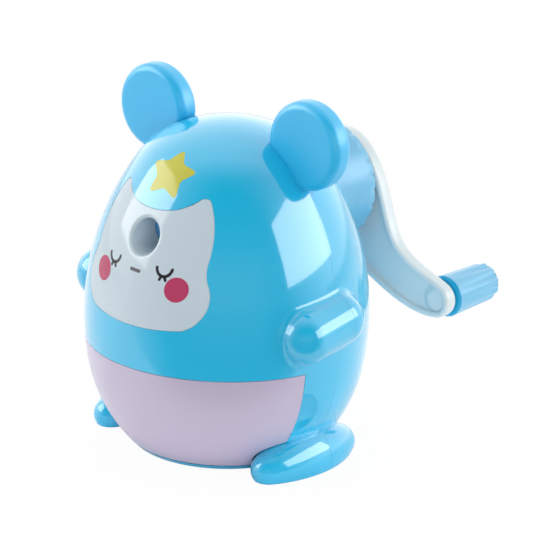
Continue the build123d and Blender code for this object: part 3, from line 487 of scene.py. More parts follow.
rear_shell = placed("rear_shell_skin", skin.data.copy())
carve(rear_shell, block(-far, far, seam_y + seam_gap, far, -1, 2 * far), "INTERSECT")
for side in (-1, 1):
    for z in case_screw_heights:
        carve(rear_shell, bar(side * case_screw_x, z, case_screw_y, far, head_hole))
        carve(rear_shell, bar(side * case_screw_x, z, -1, far, shank_hole))
front_shell = carve(skin, block(-far, far, -far, seam_y - seam_gap, -1, 2 * far), "INTERSECT")
front_shell.name = "front_shell_skin"
pocket = carve(face_prism(plate_gap), plain_egg(plate_thickness + seat_gap))
carve(front_shell, pocket)
carve(front_shell, bar(0, axis_z, -far, bulkhead_y, tube_radius + tube_gap))
for side in (-1, 1):
    carve(front_shell, ball(scoop_centre * [side, 1, 1], scoop_ball))


class Socket:
    """A node's output that adds Math nodes when it is used in a sum."""

    def __init__(self, tree, socket):
        self.tree, self.socket = tree, socket

    def maths(self, operation, *terms):
        return add(self.tree, "ShaderNodeMath", {"operation": operation}, dict(enumerate(terms)))

    def __add__(self, other):
        return self.maths("ADD", self, other)

    def __radd__(self, other):
        return self.maths("ADD", other, self)

    def __sub__(self, other):
        return self.maths("SUBTRACT", self, other)

    def __rsub__(self, other):
        return self.maths("SUBTRACT", other, self)

    def __mul__(self, other):
        return self.maths("MULTIPLY", self, other)

    def __rmul__(self, other):
        return self.maths("MULTIPLY", other, self)

    def __truediv__(self, other):
        return self.maths("DIVIDE", self, other)

    def __rtruediv__(self, other):
        return self.maths("DIVIDE", other, self)

    def __pow__(self, other):
        return self.maths("POWER", self, other)


def feed(tree, node, values):
    """Gives a node's sockets their values or links."""
    for key, value in values.items():
        if isinstance(value, Socket):
            tree.links.new(value.socket, node.inputs[key])
        else:
            node.inputs[key].default_value = value


def add(tree, kind, settings=None, values=None, out=0):
    """Adds any node: its settings first, then the values or links of its sockets."""
    node = tree.nodes.new(kind)
    for key, setting in (settings or {}).items():
        setattr(node, key, setting)
    feed(tree, node, values or {})
    return Socket(tree, node.outputs[out])


def bare_material(name):
    """A new material with its node tree, its shader and its Object coordinates."""
    material = bpy.data.materials.new(name)
    material.use_nodes = True
    tree = material.node_tree
    return material, tree, tree.nodes["Principled BSDF"], add(tree, "ShaderNodeTexCoord", out=3)


def noise(tree, place, scale, detail=2.0):
    """A noise over the Object coordinates."""
    return add(tree, "ShaderNodeTexNoise", None, {"Vector": place, "Scale": scale, "Detail": detail})


def blend(tree, share, colour, other):
    """A colour that goes over to another by share."""
    values = {"Factor": share, "A": (*colour, 1.0), "B": (*other, 1.0)}
    return add(tree, "ShaderNodeMix", {"data_type": "RGBA"}, values, out=2)


def plastic(name, colour, pale, gloss, texture=0.006, softness=0.00022, coat=0.0, coat_rough=0.03):
    """A moulded plastic: a little flow in its colour, a faint ripple in its skin and broken edges."""
    material, tree, skin, place = bare_material(name)
    flow, fine = noise(tree, place, 38.0), noise(tree, place, 900.0)
    tint = blend(tree, flow * 0.5, colour, pale)
    rough = gloss * (0.85 + 0.3 * flow) + texture * fine
    edge_line = add(tree, "ShaderNodeBevel", {"samples": 6}, {"Radius": softness})
    bumps = {"Strength": 0.12, "Distance": 0.00003, "Height": fine, "Normal": edge_line}
    ripple = add(tree, "ShaderNodeBump", None, bumps)
    feed(tree, skin, {"Base Color": tint, "Roughness": rough, "Normal": ripple, "IOR": 1.55})
    feed(tree, skin, {"Coat Weight": coat, "Coat Roughness": coat_rough, "Coat IOR": 1.6})
    return material


def dress(piece, material):
    """Gives a piece, or a CAD node, one material all over."""
    if piece.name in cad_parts:
        for slot in piece.material_slots:
            slot.material = material
    else:
        piece.data.materials.clear()
        piece.data.materials.append(material)
        piece.data.polygons.foreach_set("material_index", [0] * len(piece.data.polygons))
    return piece


body_blue = plastic("body_blue_abs", (0.013, 0.50, 0.81), (0.02, 0.52, 0.83), 0.12, coat=1.0)
for piece, node in ((front_shell, "front_shell"), (rear_shell, "rear_shell")):
    dress(shade(piece), body_blue)
    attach(piece, "body")
    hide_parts(node)

# ---------------------------------------------------------------- face plate
# A white glossy ABS moulding that lies flush in a pocket of the front shell. It carries the
# pencil's mouth with its short tube, and is bonded in from the front.
circle_turn = np.unwrap(np.arctan2(face_line[:, 1], face_line[:, 0]))
even_turn = np.linspace(circle_turn[0], circle_turn[0] - 2 * math.pi, len(face_line), endpoint=False)
circle_turn = 0.35 * circle_turn + 0.65 * even_turn
mouth_radius = 5.2
mouth_round = 1.0
plate_edge = 0.22
way = np.stack([np.cos(circle_turn), np.zeros(len(circle_turn)), np.sin(circle_turn)], axis=-1)
tube_back_y = -27.0


def mouth_ring(radius, y):
    """A ring about the pencil's axis at y."""
    ring = way * radius + [0, 0, axis_z]
    ring[:, 1] = y
    return ring


ball_ring = mouth_ring(mouth_radius + mouth_round, 0.0)
ball_ring = front_of_egg(ball_ring[:, 0], ball_ring[:, 2], mouth_round)
for _ in range(3):
    ball_ring[:, 1] += egg_distance(ball_ring)[0] + mouth_round
out_of_egg = egg_distance(ball_ring)[1]


def plate_ring(line, inset=0.0):
    """A flat line about the pencil's axis laid on the front of the egg, or under its skin by inset."""
    return front_of_egg(line[:, 0], line[:, 1] + axis_z, inset)


rings = [mouth_ring(mouth_radius, tube_back_y)]
for share in (0.25, 0.5, 0.75, 1.0):
    rings.append(mouth_ring(mouth_radius, tube_back_y + (ball_ring[:, 1] - tube_back_y) * share))
for share in np.linspace(0, 1, 11)[1:]:
    angle = share * math.pi / 2
    lean = -way * math.cos(angle) + out_of_egg * math.sin(angle)
    rings.append(ball_ring + lean / np.linalg.norm(lean, axis=1)[:, None] * mouth_round)
inner_line = rings[-1][:, [0, 2]] - [0, axis_z]
outer_line = grown(face_line, -plate_edge)
for share in np.linspace(0, 1, 46)[1:]:
    rings.append(plate_ring(inner_line * (1 - share) + outer_line * share))
for share in np.linspace(0, 1, 7)[1:]:
    angle = share * math.pi / 2
    line = grown(face_line, -plate_edge * (1 - math.sin(angle)))
    rings.append(plate_ring(line, plate_edge * (1 - math.cos(angle))))
rings.append(plate_ring(face_line, plate_thickness))
tube_line = way[:, [0, 2]] * tube_radius
for share in np.linspace(0, 1, 12)[1:]:
    rings.append(plate_ring(face_line * (1 - share) + tube_line * share, plate_thickness))
rings.append(mouth_ring(tube_radius, tube_back_y))
face_plate = shade(loft("face_plate_moulding", rings, "loop"), 40)
plate_white = plastic("face_white_abs", (0.56, 0.67, 0.74), (0.59, 0.70, 0.765), 0.10)
dress(face_plate, plate_white)
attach(face_plate, "body")
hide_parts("face_plate")

# ---------------------------------------------------------------- printed face
# Closed eyes with lashes, a short mouth and two cheeks are pad-printed on the plate in one
# thin coat of ink each, so every print is a film a few hundredths of a millimetre thick.
ink_rise = 0.035
ink_root = -0.05


def film(name, rows):
    """A thin closed film on the egg over a net of (x, z) rows seen from the front."""
    rows = np.asarray(rows, float)
    skin = front_of_egg(rows[..., 0], rows[..., 1])
    points = np.vstack([onto_egg(skin, rise).reshape(-1, 3) for rise in (ink_rise, ink_root)])
    at = np.arange(rows.shape[0] * rows.shape[1]).reshape(rows.shape[:2])
    lower = at.size
    corners = np.stack([at[:-1, :-1], at[:-1, 1:], at[1:, 1:], at[1:, :-1]], axis=-1)
    faces = []
    for quad in corners.reshape(-1, 4).tolist():
        faces += [tuple(quad), tuple(lower + k for k in reversed(quad))]
    rim = [*at[0, :-1], *at[:-1, -1], *at[-1, :0:-1], *at[:0:-1, 0]]
    rim = [int(k) for k in rim]
    for a, b in zip(rim, rim[1:] + rim[:1]):
        faces.append((b, a, lower + a, lower + b))
    return shade(mesh_piece(name, points, faces), 50)


def stroke(line, width):
    """A net for a pen stroke with round ends along a line."""
    line = np.asarray(line, float)
    ahead = np.gradient(line, axis=0)
    ahead /= np.linalg.norm(ahead, axis=1)[:, None]
    side = np.stack([-ahead[:, 1], ahead[:, 0]], axis=-1)

    def row(i, turn=0.0):
        """Five places across the stroke at one of its points, moved round its end by turn."""
        c, s = math.cos(math.radians(turn)), math.sin(math.radians(turn))
        middle = line[i] + ahead[i] * s * width / 2
        return [middle + side[i] * c * k * width / 2 for k in np.linspace(-1, 1, 5)]

    round_end = np.linspace(0, 88, 9)[1:]
    rows = [row(0, -turn) for turn in reversed(round_end)]
    rows += [row(i) for i in range(len(line))]
    return rows + [row(-1, turn) for turn in round_end]


def dot(x, z, radius, count=33):
    """A net for a round dot, a square net eased out to the circle."""
    grid = np.linspace(-1, 1, count)
    u, v = np.meshgrid(grid, grid)
    across, up = radius * u * np.sqrt(1 - v**2 / 2), radius * v * np.sqrt(1 - u**2 / 2)
    return np.stack([x + across, z + up], axis=-1)


def ink(name, colour, deep, gloss=0.12):
    """Printing ink: even colour with a faint speckle of the screen, glossy over the plate."""
    return plastic(name, colour, deep, gloss, 0.03, 0.00001)


eye_ink = ink("eye_ink", (0.012, 0.012, 0.016), (0.02, 0.02, 0.026))
cheek_ink = ink("cheek_ink", (0.48, 0.045, 0.13), (0.52, 0.06, 0.15))
mouth_ink = ink("mouth_ink", (0.095, 0.095, 0.11), (0.12, 0.12, 0.135))
eye_x, eye_z, lid_width, lid_drop = 10.0, 67.5, 2.5, 2.55
lashes = {"inner": (9.45, 9.0), "outer": (10.45, 10.95)}  # how far out each starts and ends
lash_top, lash_tip = 65.0, 63.95
cheek_x, cheek_z, cheek_radius = 14.75, 61.7, 3.65
mouth_ends = ((-1.8, 65.0), (1.35, 64.9))
lid_pen, lash_pen, mouth_pen = 0.92, 0.9, 1.05
prints = []
for side, name in ((-1, "left"), (1, "right")):
    turn = np.radians(np.linspace(186, 354, 41))
    lid = np.stack([side * eye_x + lid_width * np.cos(turn), eye_z + lid_drop * np.sin(turn)], axis=-1)
    prints.append((film(f"{name}_eyelid_print", stroke(lid, lid_pen)), eye_ink))
    for word, (start, end) in lashes.items():
        line = np.linspace((side * start, lash_top), (side * end, lash_tip), 8)
        prints.append((film(f"{name}_{word}_lash_print", stroke(line, lash_pen)), eye_ink))
    cheek_net = dot(side * cheek_x, cheek_z, cheek_radius)
    prints.append((film(f"{name}_cheek_print", cheek_net), cheek_ink))
prints.append((film("mouth_print", stroke(np.linspace(*mouth_ends, 16), mouth_pen)), mouth_ink))
for piece, material in prints:
    dress(piece, material)
    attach(piece, "body")

# ---------------------------------------------------------------- star
# A five-pointed star with soft tips is pad-printed in yellow on the brow of the front shell.
star_centre = onto_egg(np.array([1.35, -27.2, 92.1]))
star_up = egg_distance(star_centre)[1]
star_right = np.cross([0.0, 0.0, 1.0], star_up)
star_right /= np.linalg.norm(star_right)
star_top = np.cross(star_up, star_right)
if star_right[0] < 0:
    star_right = -star_right
star_tip, star_valley, star_turn = 9.3, 4.8, math.radians(-2.0)
tip_cut, valley_cut = 1.9, 1.0
corners = []
for i in range(10):
    angle = math.pi / 2 + star_turn - i * math.pi / 5
    radius = star_tip if i % 2 == 0 else star_valley
    corners.append((radius * math.cos(angle), radius * math.sin(angle)))
closed = np.array(corners + corners[:1])
fine_line = np.vstack([np.linspace(a, b, 20, endpoint=False) for a, b in zip(closed, closed[1:])])
for i in range(10):
    tip_at = int(np.argmin(np.linalg.norm(fine_line - corners[i], axis=1)))
    fine_line = np.roll(fine_line, len(fine_line) // 2 - tip_at, axis=0)
    fine_line = softened(fine_line, len(fine_line) // 2, tip_cut if i % 2 == 0 else valley_cut)
star_line = evened(fine_line, 200)


def on_brow(flat, rise):
    """Flat places laid on the brow about the star's centre."""
    return onto_egg(star_centre + flat[..., :1] * star_right + flat[..., 1:] * star_top, rise)


top_rings = [on_brow(star_line * share, ink_rise) for share in np.linspace(0.03, 1, 24)]
root_rings = [on_brow(star_line * share, ink_root) for share in (1, 0.6, 0.2)]
star = shade(loft("star_print", top_rings + root_rings, ("point", "point")), 50)
star_ink = ink("star_ink", (0.56, 0.54, 0.045), (0.60, 0.59, 0.07), 0.10)
dress(star, star_ink)
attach(star, "body")

# ---------------------------------------------------------------- ears
# Each ear is a thick solid disc of a slightly deeper blue ABS with a satin skin. A tab under
# it is clamped between the shells.
ear_blue = plastic(
    "ear_blue_abs", (0.018, 0.50, 0.88), (0.03, 0.53, 0.90), 0.34, 0.03, coat=0.5, coat_rough=0.3
)
ear_disc, ear_half, ear_edge = 13.69, 3.8, 2.6
for side, node in ((-1, "left_ear"), (1, "right_ear")):
    line = [(seam_y - ear_half, r) for r in (0.6, 3, 6, 9)]
    line += arc_about((seam_y - ear_half + ear_edge, ear_disc - ear_edge), ear_edge, 180, 90, 15)
    line += [(2 * seam_y - y, r) for y, r in reversed(line)]
    ear = turned(f"{node}_disc", line, side * ear_x, ear_z, 144)
    carve(ear, plain_egg(-0.06))
    carve(ear, ear_tab(side), "UNION")
    dress(shade(ear), ear_blue)
    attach(ear, "body")
    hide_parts(node)

# ---------------------------------------------------------------- shavings drawer
# A satin lilac moulding: the lower front of the egg with the bin behind it, which slides
# out between the feet and catches the shavings.
drawer_gap = 0.35
drawer_top_gap = 0.14
drawer_wall = 1.8
drawer_rear = drawer_edge_y - 0.15
bin_half, bin_rear, bin_corner, bin_floor, bin_top = 21.0, 16.0, 6.0, 4.0, 33.0
bin_inset = 0.9
drawer_leans = steps([(80, 0.7)] + belly_stops)
drawer_turns = steps([(180, 1.2), (360, 1.2)])[:-1] + list(np.arange(0, 180, 6.0))
drawer = loft("drawer_moulding", egg(0, drawer_leans, drawer_turns))
carve(drawer, plain_egg(drawer_wall))
for side in (-1, 1):
    web = block(side * 20.0, side * far, drawer_rear - drawer_wall, drawer_rear, bin_floor, bin_top)
    carve(web, plain_egg(bin_inset), "INTERSECT")
    carve(drawer, web, "UNION")
carve(drawer, block(-far, far, -far, drawer_rear, 2.35, drawer_top - drawer_top_gap), "INTERSECT")


def tray(half_width, rear_y, corner, z_from, z_to):
    """A box with round rear corners that runs forward out of the egg."""
    ring = [(half_width, -far), (half_width, rear_y - corner)]
    ring += arc_about((half_width - corner, rear_y - corner), corner, 0, 90, 16)
    ring += [(-x, y) for x, y in reversed(ring)]
    return loft("tray", [[(x, y, z) for x, y in ring] for z in (z_from, z_to)], ("flat", "flat"))


outer = tray(bin_half, bin_rear, bin_corner, bin_floor, bin_top)
carve(drawer, carve(outer, plain_egg(bin_inset), "INTERSECT"), "UNION")
inner = tray(*(size - drawer_wall for size in (bin_half, bin_rear, bin_corner)), bin_floor + drawer_wall, far)
carve(drawer, carve(inner, plain_egg(drawer_wall), "INTERSECT"))
for side in (-1, 1):
    carve(drawer, foot(side, -drawer_gap))
drawer_lilac = plastic(
    "drawer_lilac", (0.53, 0.465, 0.62), (0.56, 0.49, 0.645), 0.30, 0.04, coat=0.7, coat_rough=0.25
)
dress(shade(drawer), drawer_lilac)
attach(drawer, "drawer")
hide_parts("drawer")

# ---------------------------------------------------------------- base, pad and cutter seat
# The base plate and the seat are plain blue mouldings inside the body; the pad is a soft
# grey rubber disc pressed into the base.
inner_blue = plastic("inner_blue_abs", (0.03, 0.36, 0.74), (0.04, 0.38, 0.76), 0.22, 0.05)
pad_rubber = plastic("pad_rubber", (0.24, 0.25, 0.27), (0.29, 0.30, 0.32), 0.62, 0.2)
dress(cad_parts["base_plate"], body_blue)
dress(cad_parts["cutter_seat"], inner_blue)
dress(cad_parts["anti_slip_pad"], pad_rubber)

# ---------------------------------------------------------------- cutter unit
# A ground helical cutter turns on its axle in a die-cast carrier, driven by its pinion in
# the steel ring gear.


def metal(name, colour, dark, rough, grain):
    """A machined or cast metal: fine turning marks and slight staining."""
    material, tree, skin, place = bare_material(name)
    waves = {"Vector": place, "Scale": grain, "Distortion": 3.0, "Detail": 2.0}
    marks = add(tree, "ShaderNodeTexWave", {"bands_direction": "Y"}, waves, 1)
    stain = noise(tree, place, 160.0, 4.0)
    tint = blend(tree, stain, colour, dark)
    rise = add(tree, "ShaderNodeBump", None, {"Strength": 0.3, "Distance": 0.00002, "Height": marks})
    rough = rough + 0.12 * stain
    feed(tree, skin, {"Base Color": tint, "Roughness": rough, "Normal": rise, "Metallic": 1.0})
    return material


zinc = metal("die_cast_zinc", (0.55, 0.56, 0.58), (0.44, 0.45, 0.47), 0.34, 120.0)
steel = metal("ground_steel", (0.50, 0.51, 0.53), (0.40, 0.41, 0.43), 0.2, 500.0)
plated = metal("zinc_plated_steel", (0.62, 0.63, 0.65), (0.52, 0.53, 0.55), 0.22, 300.0)
for node, material in (
    ("cutter_carrier", zinc),
    ("ring_gear", steel),
    ("helical_cutter", steel),
    ("cutter_pinion", steel),
    ("cutter_axle", steel),
    ("cutter_washers", plated),
    ("thrust_washer", plated),
    ("knob_pin", plated),
):
    dress(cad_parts[node], material)

# ---------------------------------------------------------------- collar
# A pale blue turned-looking moulding closes the cutter unit behind. Its flared rim has
# pressed finger flutes, for the quarter turn that locks it in the body.


def start_tree(name, inputs):
    """A geometry tree with named inputs of the given kinds, and those inputs as sockets."""
    tree = bpy.data.node_groups.new(name, "GeometryNodeTree")
    for label, kind in {"Geometry": "Geometry", **inputs, "Material": "Material"}.items():
        tree.interface.new_socket(label, in_out="INPUT", socket_type=f"NodeSocket{kind}")
    tree.interface.new_socket("Geometry", in_out="OUTPUT", socket_type="NodeSocketGeometry")
    given = tree.nodes.new("NodeGroupInput")
    return tree, {s.name: Socket(tree, s) for s in given.outputs if s.name}


def end_tree(tree, shape, material):
    """Ends a geometry tree with its shape made real and given its material."""
    real = add(tree, "GeometryNodeRealizeInstances", None, {0: shape})
    done = add(tree, "GeometryNodeSetMaterial", None, {"Geometry": real, "Material": material})
    feed(tree, tree.nodes.new("NodeGroupOutput"), {0: done})
    return tree


def split(vector):
    """The x, y and z of a vector."""
    parts = vector.tree.nodes.new("ShaderNodeSeparateXYZ")
    feed(vector.tree, parts, {0: vector})
    return [Socket(vector.tree, s) for s in parts.outputs]


def lobe_tree():
    """Geometry nodes that press round finger lobes into a turned form about an axis along Y."""
    sizes = ("Lobes", "Depth", "Roundness", "Skin radius", "Start y", "Run in", "Axis x", "Axis z")
    tree, get = start_tree("pressed_lobes", dict.fromkeys(sizes, "Float"))
    x, y, z = split(add(tree, "GeometryNodeInputPosition"))
    across, up = x - get["Axis x"], z - get["Axis z"]
    reach = across.maths("SQRT", across * across + up * up)
    pitch = 2 * math.pi / get["Lobes"]
    off = up.maths("PINGPONG", up.maths("ARCTAN2", up, across) + 10 * pitch, pitch * 0.5)
    share = (1 - off / (pitch * 0.5)) ** get["Roundness"]
    along = y.maths("MINIMUM", y.maths("MAXIMUM", (y - get["Start y"]) / get["Run in"], 0.0), 1.0)
    outside = reach.maths("GREATER_THAN", reach, get["Skin radius"])
    scale = 1 - get["Depth"] * share * along * outside / reach
    x_now, z_now = get["Axis x"] + across * scale, get["Axis z"] + up * scale
    moved = add(tree, "ShaderNodeCombineXYZ", None, {0: x_now, 1: y, 2: z_now})
    shaped = add(tree, "GeometryNodeSetPosition", None, {"Geometry": get["Geometry"], "Position": moved})
    return end_tree(tree, shaped, get["Material"])


def run_tree(piece, tree, settings):
    """Runs a geometry tree on a piece with its named inputs and keeps the plain mesh."""
    maker = piece.modifiers.new("maker", "NODES")
    maker.node_group = tree
    for item in tree.interface.items_tree:
        if item.in_out == "INPUT" and item.name in settings:
            maker[item.identifier] = settings[item.name]
    return made_plain(piece)


def rounded_line(line, corners, count=6):
    """A line of (y, radius) with the numbered corners rounded to the given radii."""
    line = [np.array(p, float) for p in line]
    result = []
    for i, point in enumerate(line):
        if i not in corners:
            result.append(point)
            continue
        before, after = line[i - 1] - point, line[(i + 1) % len(line)] - point
        before, after = before / np.linalg.norm(before), after / np.linalg.norm(after)
        angle = math.acos(np.clip(before @ after, -1, 1))
        cut = corners[i] / math.tan(angle / 2)
        inward = (before + after) / np.linalg.norm(before + after)
        middle = point + inward * corners[i] / math.sin(angle / 2)
        a, b = point + before * cut - middle, point + after * cut - middle
        for t in np.linspace(0, 1, count):
            lean = a * (1 - t) + b * t
            result.append(middle + lean / np.linalg.norm(lean) * corners[i])
    return result


def closer(line, spacing):
    """The same closed line with extra points on its long runs."""
    result = []
    for a, b in zip(line, line[1:] + line[:1]):
        count = max(int(np.linalg.norm(b - a) / spacing), 1)
        result += list(np.linspace(a, b, count, endpoint=False))
    return result


lobed = lobe_tree()
pale_blue = plastic(
    "pale_blue_plastic", (0.14, 0.50, 0.76), (0.17, 0.52, 0.78), 0.32, 0.02, coat=0.4, coat_rough=0.32
)
# (y, radius) from the front edge along the outside to the rim, then back through the bore
collar_line = rounded_line(
    [(6.0, 16.0), (6.0, 17.6), (22.3, 17.6), (22.3, 18.6), (38.0, 18.6), (45.0, 19.35), (48.0, 19.35),
     (48.0, 3.36), (40.0, 3.36), (40.0, 8.0), (45.0, 8.0), (45.0, 14.4), (31.05, 14.4), (31.05, 16.0)],
    {0: 0.3, 1: 0.3, 3: 0.3, 4: 20.0, 5: 6.0, 6: 0.8, 7: 0.4},
)
collar = turned("collar_moulding", closer(collar_line, 1.2), 0, axis_z, 528, "loop")
run_tree(
    collar,
    lobed,
    {"Lobes": 24.0, "Depth": 0.7 * mm, "Roundness": 4.0, "Skin radius": 18.3 * mm, "Start y": 45.3 * mm,
     "Run in": 0.5 * mm, "Axis x": 0.0, "Axis z": axis_z * mm, "Material": pale_blue},
)
shade(collar)
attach(collar, "collar")
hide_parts("cutter_collar")

# ---------------------------------------------------------------- crank arm
# A white ABS arm that swings down from a round hub to a small round end. Its front is a
# shallow channel inside a raised rim, and its rear edges are well rounded.
crank_throw, crank_angle = 52.3, math.radians(-38.3)
knob_x = crank_throw * math.cos(crank_angle)
knob_z = axis_z + crank_throw * math.sin(crank_angle)


def smooth_run(before, points, after, count=120):
    """A cubic through the points that leaves and meets the round ends without a kink."""
    line = np.array([before[-1]] + points + [after[0]], float)
    start, end = before[-1] - before[-2], after[1] - after[0]
    start, end = start / np.linalg.norm(start), end / np.linalg.norm(end)
    step = np.linalg.norm(np.diff(line, axis=0), axis=1)
    size = len(line)
    left_side, right_side = np.eye(size), np.zeros((size, 2))
    right_side[0], right_side[-1] = start, end
    for i in range(1, size - 1):
        back, on = step[i - 1], step[i]
        left_side[i, i - 1 : i + 2] = on, 2 * (back + on), back
        right_side[i] = 3 * (on / back * (line[i] - line[i - 1]) + back / on * (line[i + 1] - line[i]))
    slope = np.linalg.solve(left_side, right_side)
    result = []
    for i in range(size - 1):
        for t in np.linspace(0, 1, count // (size - 1), endpoint=False)[1 if i == 0 else 0 :]:
            place = (2 * t**3 - 3 * t**2 + 1) * line[i] + (3 * t**2 - 2 * t**3) * line[i + 1]
            lean = (t**3 - 2 * t**2 + t) * slope[i] + (t**3 - t**2) * slope[i + 1]
            result.append(place + step[i] * lean)
    return np.array(result)


hub_radius, end_radius = 16.2, 5.7
hub = np.array(arc_about((0, 0), hub_radius, -10, 102, 60))
end = np.array(arc_about((-knob_x, knob_z - axis_z), end_radius, 112, 265, 40))
upper = smooth_run(hub, [(-17.9, 0.6), (-26.7, -19.0)], end)
lower = smooth_run(end, [(-21.2, -33.8), (-5.0, -24.4), (10.2, -11.9)], hub)
arm_line = evened(np.vstack([hub, upper, end, lower])[::-1], 420)

front_y, rear_y, floor_y, rim = 51.0, 56.0, 53.1, 1.9
floor_round, inner_round, outer_round, rear_round = 0.8, 0.85, 1.0, 1.2
# (inset, y) round the arm's section, from the channel's floor over the rim to the back
section = [(rim + 1.3, floor_y), (rim + 1.0, floor_y)]
section += arc_about((rim + floor_round, floor_y - floor_round), floor_round, 90, 180, 7)
section += arc_about((rim - inner_round, front_y + inner_round), inner_round, 0, -90, 7)
section += arc_about((outer_round, front_y + outer_round), outer_round, -90, -180, 7)
section += arc_about((rear_round, rear_y - rear_round), rear_round, 180, 90, 11)
section += [(1.5, rear_y), (1.8, rear_y)]
rings = [outline_ring(grown(arm_line, -inset) * [-1, 1], y) for inset, y in section]
crank_arm = loft("crank_arm_moulding", rings, ("flat", "flat"))
bearing_y, bearing_radius = 48.4, 8.0
carve(crank_arm, bar(0, axis_z, bearing_y, rear_y - 1.0, bearing_radius), "UNION")
boss_y, boss_flat, boss_radius, boss_fall = 51.9, 2.3, 5.6, 0.6
boss = [(boss_y, 0.3), (boss_y, 1.3)]
for share in np.linspace(0, 1, 14):
    fall = boss_fall * (1 - math.cos(math.pi * share))
    boss.append((boss_y + fall, boss_flat + (boss_radius - boss_flat) * share))
boss.append((53.5, end_radius))
carve(crank_arm, turned("boss", boss, knob_x, knob_z, 96, ("point", "flat")), "UNION")
shaft_hole, shaft_hole_y, crank_screw_y = 3.35, 52.7, 54.1
pin_hole = 2.2
carve(crank_arm, bar(0, axis_z, 48.0, shaft_hole_y, shaft_hole))
head_seat = [(crank_screw_y, 4.5), (55.6, 4.8), (56.3, 5.3)]
carve(crank_arm, turned("head_seat", head_seat, 0, axis_z, 96, ("flat", "flat")))
carve(crank_arm, bar(0, axis_z, 40.0, 60.0, shank_hole))
carve(crank_arm, bar(knob_x, knob_z, 51.98, 60.0, pin_hole))
arm_white = plastic("crank_white_abs", (0.71, 0.795, 0.81), (0.73, 0.815, 0.83), 0.22, 0.02)
dress(shade(crank_arm), arm_white)
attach(crank_arm, "crank")
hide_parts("crank_arm")

# ---------------------------------------------------------------- knob
# A pale blue moulded barrel with ten soft flutes that turns on its pin. Its neck, next to the
# arm, is painted a deeper blue as painted shade for the shadowed gap between knob and arm.
painted_shade_end_y = 57.15
knob_line = rounded_line(
    [(56.6, 2.26), (56.6, 6.0), (57.3, 6.7), (78.0, 6.1), (78.0, 4.0), (75.5, 4.0), (75.5, 2.26)],
    {1: 0.3, 2: 0.35, 3: 1.0, 4: 0.3},
)
knob = turned("knob_barrel", closer(knob_line, 1.0), knob_x, knob_z, 320, "loop")
run_tree(
    knob,
    lobed,
    {"Lobes": 10.0, "Depth": 0.7 * mm, "Roundness": 1.4, "Skin radius": 5.4 * mm, "Start y": 56.0 * mm,
     "Run in": 20.0 * mm, "Axis x": knob_x * mm, "Axis z": knob_z * mm, "Material": pale_blue},
)
# painted shade: the faces of the neck next to the arm get a deeper blue that stands in for the shadow in the
# gap
painted_neck_shade = plastic("knob_neck_blue", (0.004, 0.39, 0.68), (0.008, 0.41, 0.70), 0.25)
knob.data.materials.append(painted_neck_shade)
for face in knob.data.polygons:
    if face.center.y < painted_shade_end_y * mm:
        face.material_index = 1
shade(knob)
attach(knob, "knob")
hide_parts("knob")

# ---------------------------------------------------------------- screws
# Pan-head self-tapping screws of plated steel with a cross recess hold the case, the base,
# the cutter seat and the crank.


def screw_pattern(length):
    """One screw on the origin, its head towards +Z and its shank down -Z."""
    line = [(1.6, 0.25), (1.58, 1.0), (1.4, 1.8), (0.95, 2.3), (0.35, 2.5), (0.0, 2.45), (0.0, 1.12)]
    z = -0.5
    while z > 1.5 - length:
        line += [(z, 1.0), (z - 0.35, 1.28), (z - 0.45, 1.28)]
        z -= 0.8
    line += [(1.0 - length, 0.95), (-length, 0.15)]
    angle = np.linspace(0, 2 * math.pi, 40, endpoint=False)
    rings = [np.stack([r * np.cos(angle), r * np.sin(angle), np.full(40, h)], axis=-1) for h, r in line]
    screw = loft("screw", rings)
    for wide, thin in ((1.3, 0.3), (0.3, 1.3)):
        slot = []
        for s, h in ((0.45, 0.35), (1.0, 1.9)):
            x, y = wide * s, thin * s
            slot.append([(-x, -y, h), (x, -y, h), (x, y, h), (-x, y, h)])
        carve(screw, loft("cross", slot, ("flat", "flat")))
    return shade(screw)


def screw_tree():
    """Geometry nodes that set one screw on every given place."""
    tree, get = start_tree("set_screws", {"Screw": "Object", "Turn": "Vector"})
    own_place = {"transform_space": "ORIGINAL"}
    screw = add(tree, "GeometryNodeObjectInfo", own_place, {"Object": get["Screw"]}, "Geometry")
    places = {"Points": get["Geometry"], "Instance": screw, "Rotation": get["Turn"]}
    set_in = add(tree, "GeometryNodeInstanceOnPoints", None, places)
    return end_tree(tree, set_in, get["Material"])


screws = screw_tree()
backwards = (-math.pi / 2, 0.0, 0.0)  # head towards +Y
downwards = (math.pi, 0.0, 0.0)
case_places = [(side * case_screw_x, case_screw_y, z) for side in (-1, 1) for z in case_screw_heights]
base_places = [(side * foot_x, seam_y + off, 2.4) for side in (-1, 1) for off in (-9.0, 9.0)]
seat_places = [(side * seat_screw_x, -10.6, axis_z + rise) for side in (-1, 1) for rise in seat_screw_rises]
screw_sets = (
    ("case_screws", "body", 8.0, backwards, case_places),
    ("base_screws", "body", 7.0, downwards, base_places),
    ("seat_screws", "body", 8.4, backwards, seat_places),
    ("crank_screw", "crank", 8.5, backwards, [(0.0, crank_screw_y, axis_z)]),
)
for node, body, length, turn, places in screw_sets:
    pattern = screw_pattern(length)
    points = bpy.data.meshes.new(node)
    points.from_pydata([tuple(c * mm for c in p) for p in places], [], [])
    group = placed(f"{node}_set", points)
    run_tree(group, screws, {"Screw": pattern, "Turn": turn, "Material": plated})
    bpy.data.objects.remove(pattern)
    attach(group, body)
    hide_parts(node)

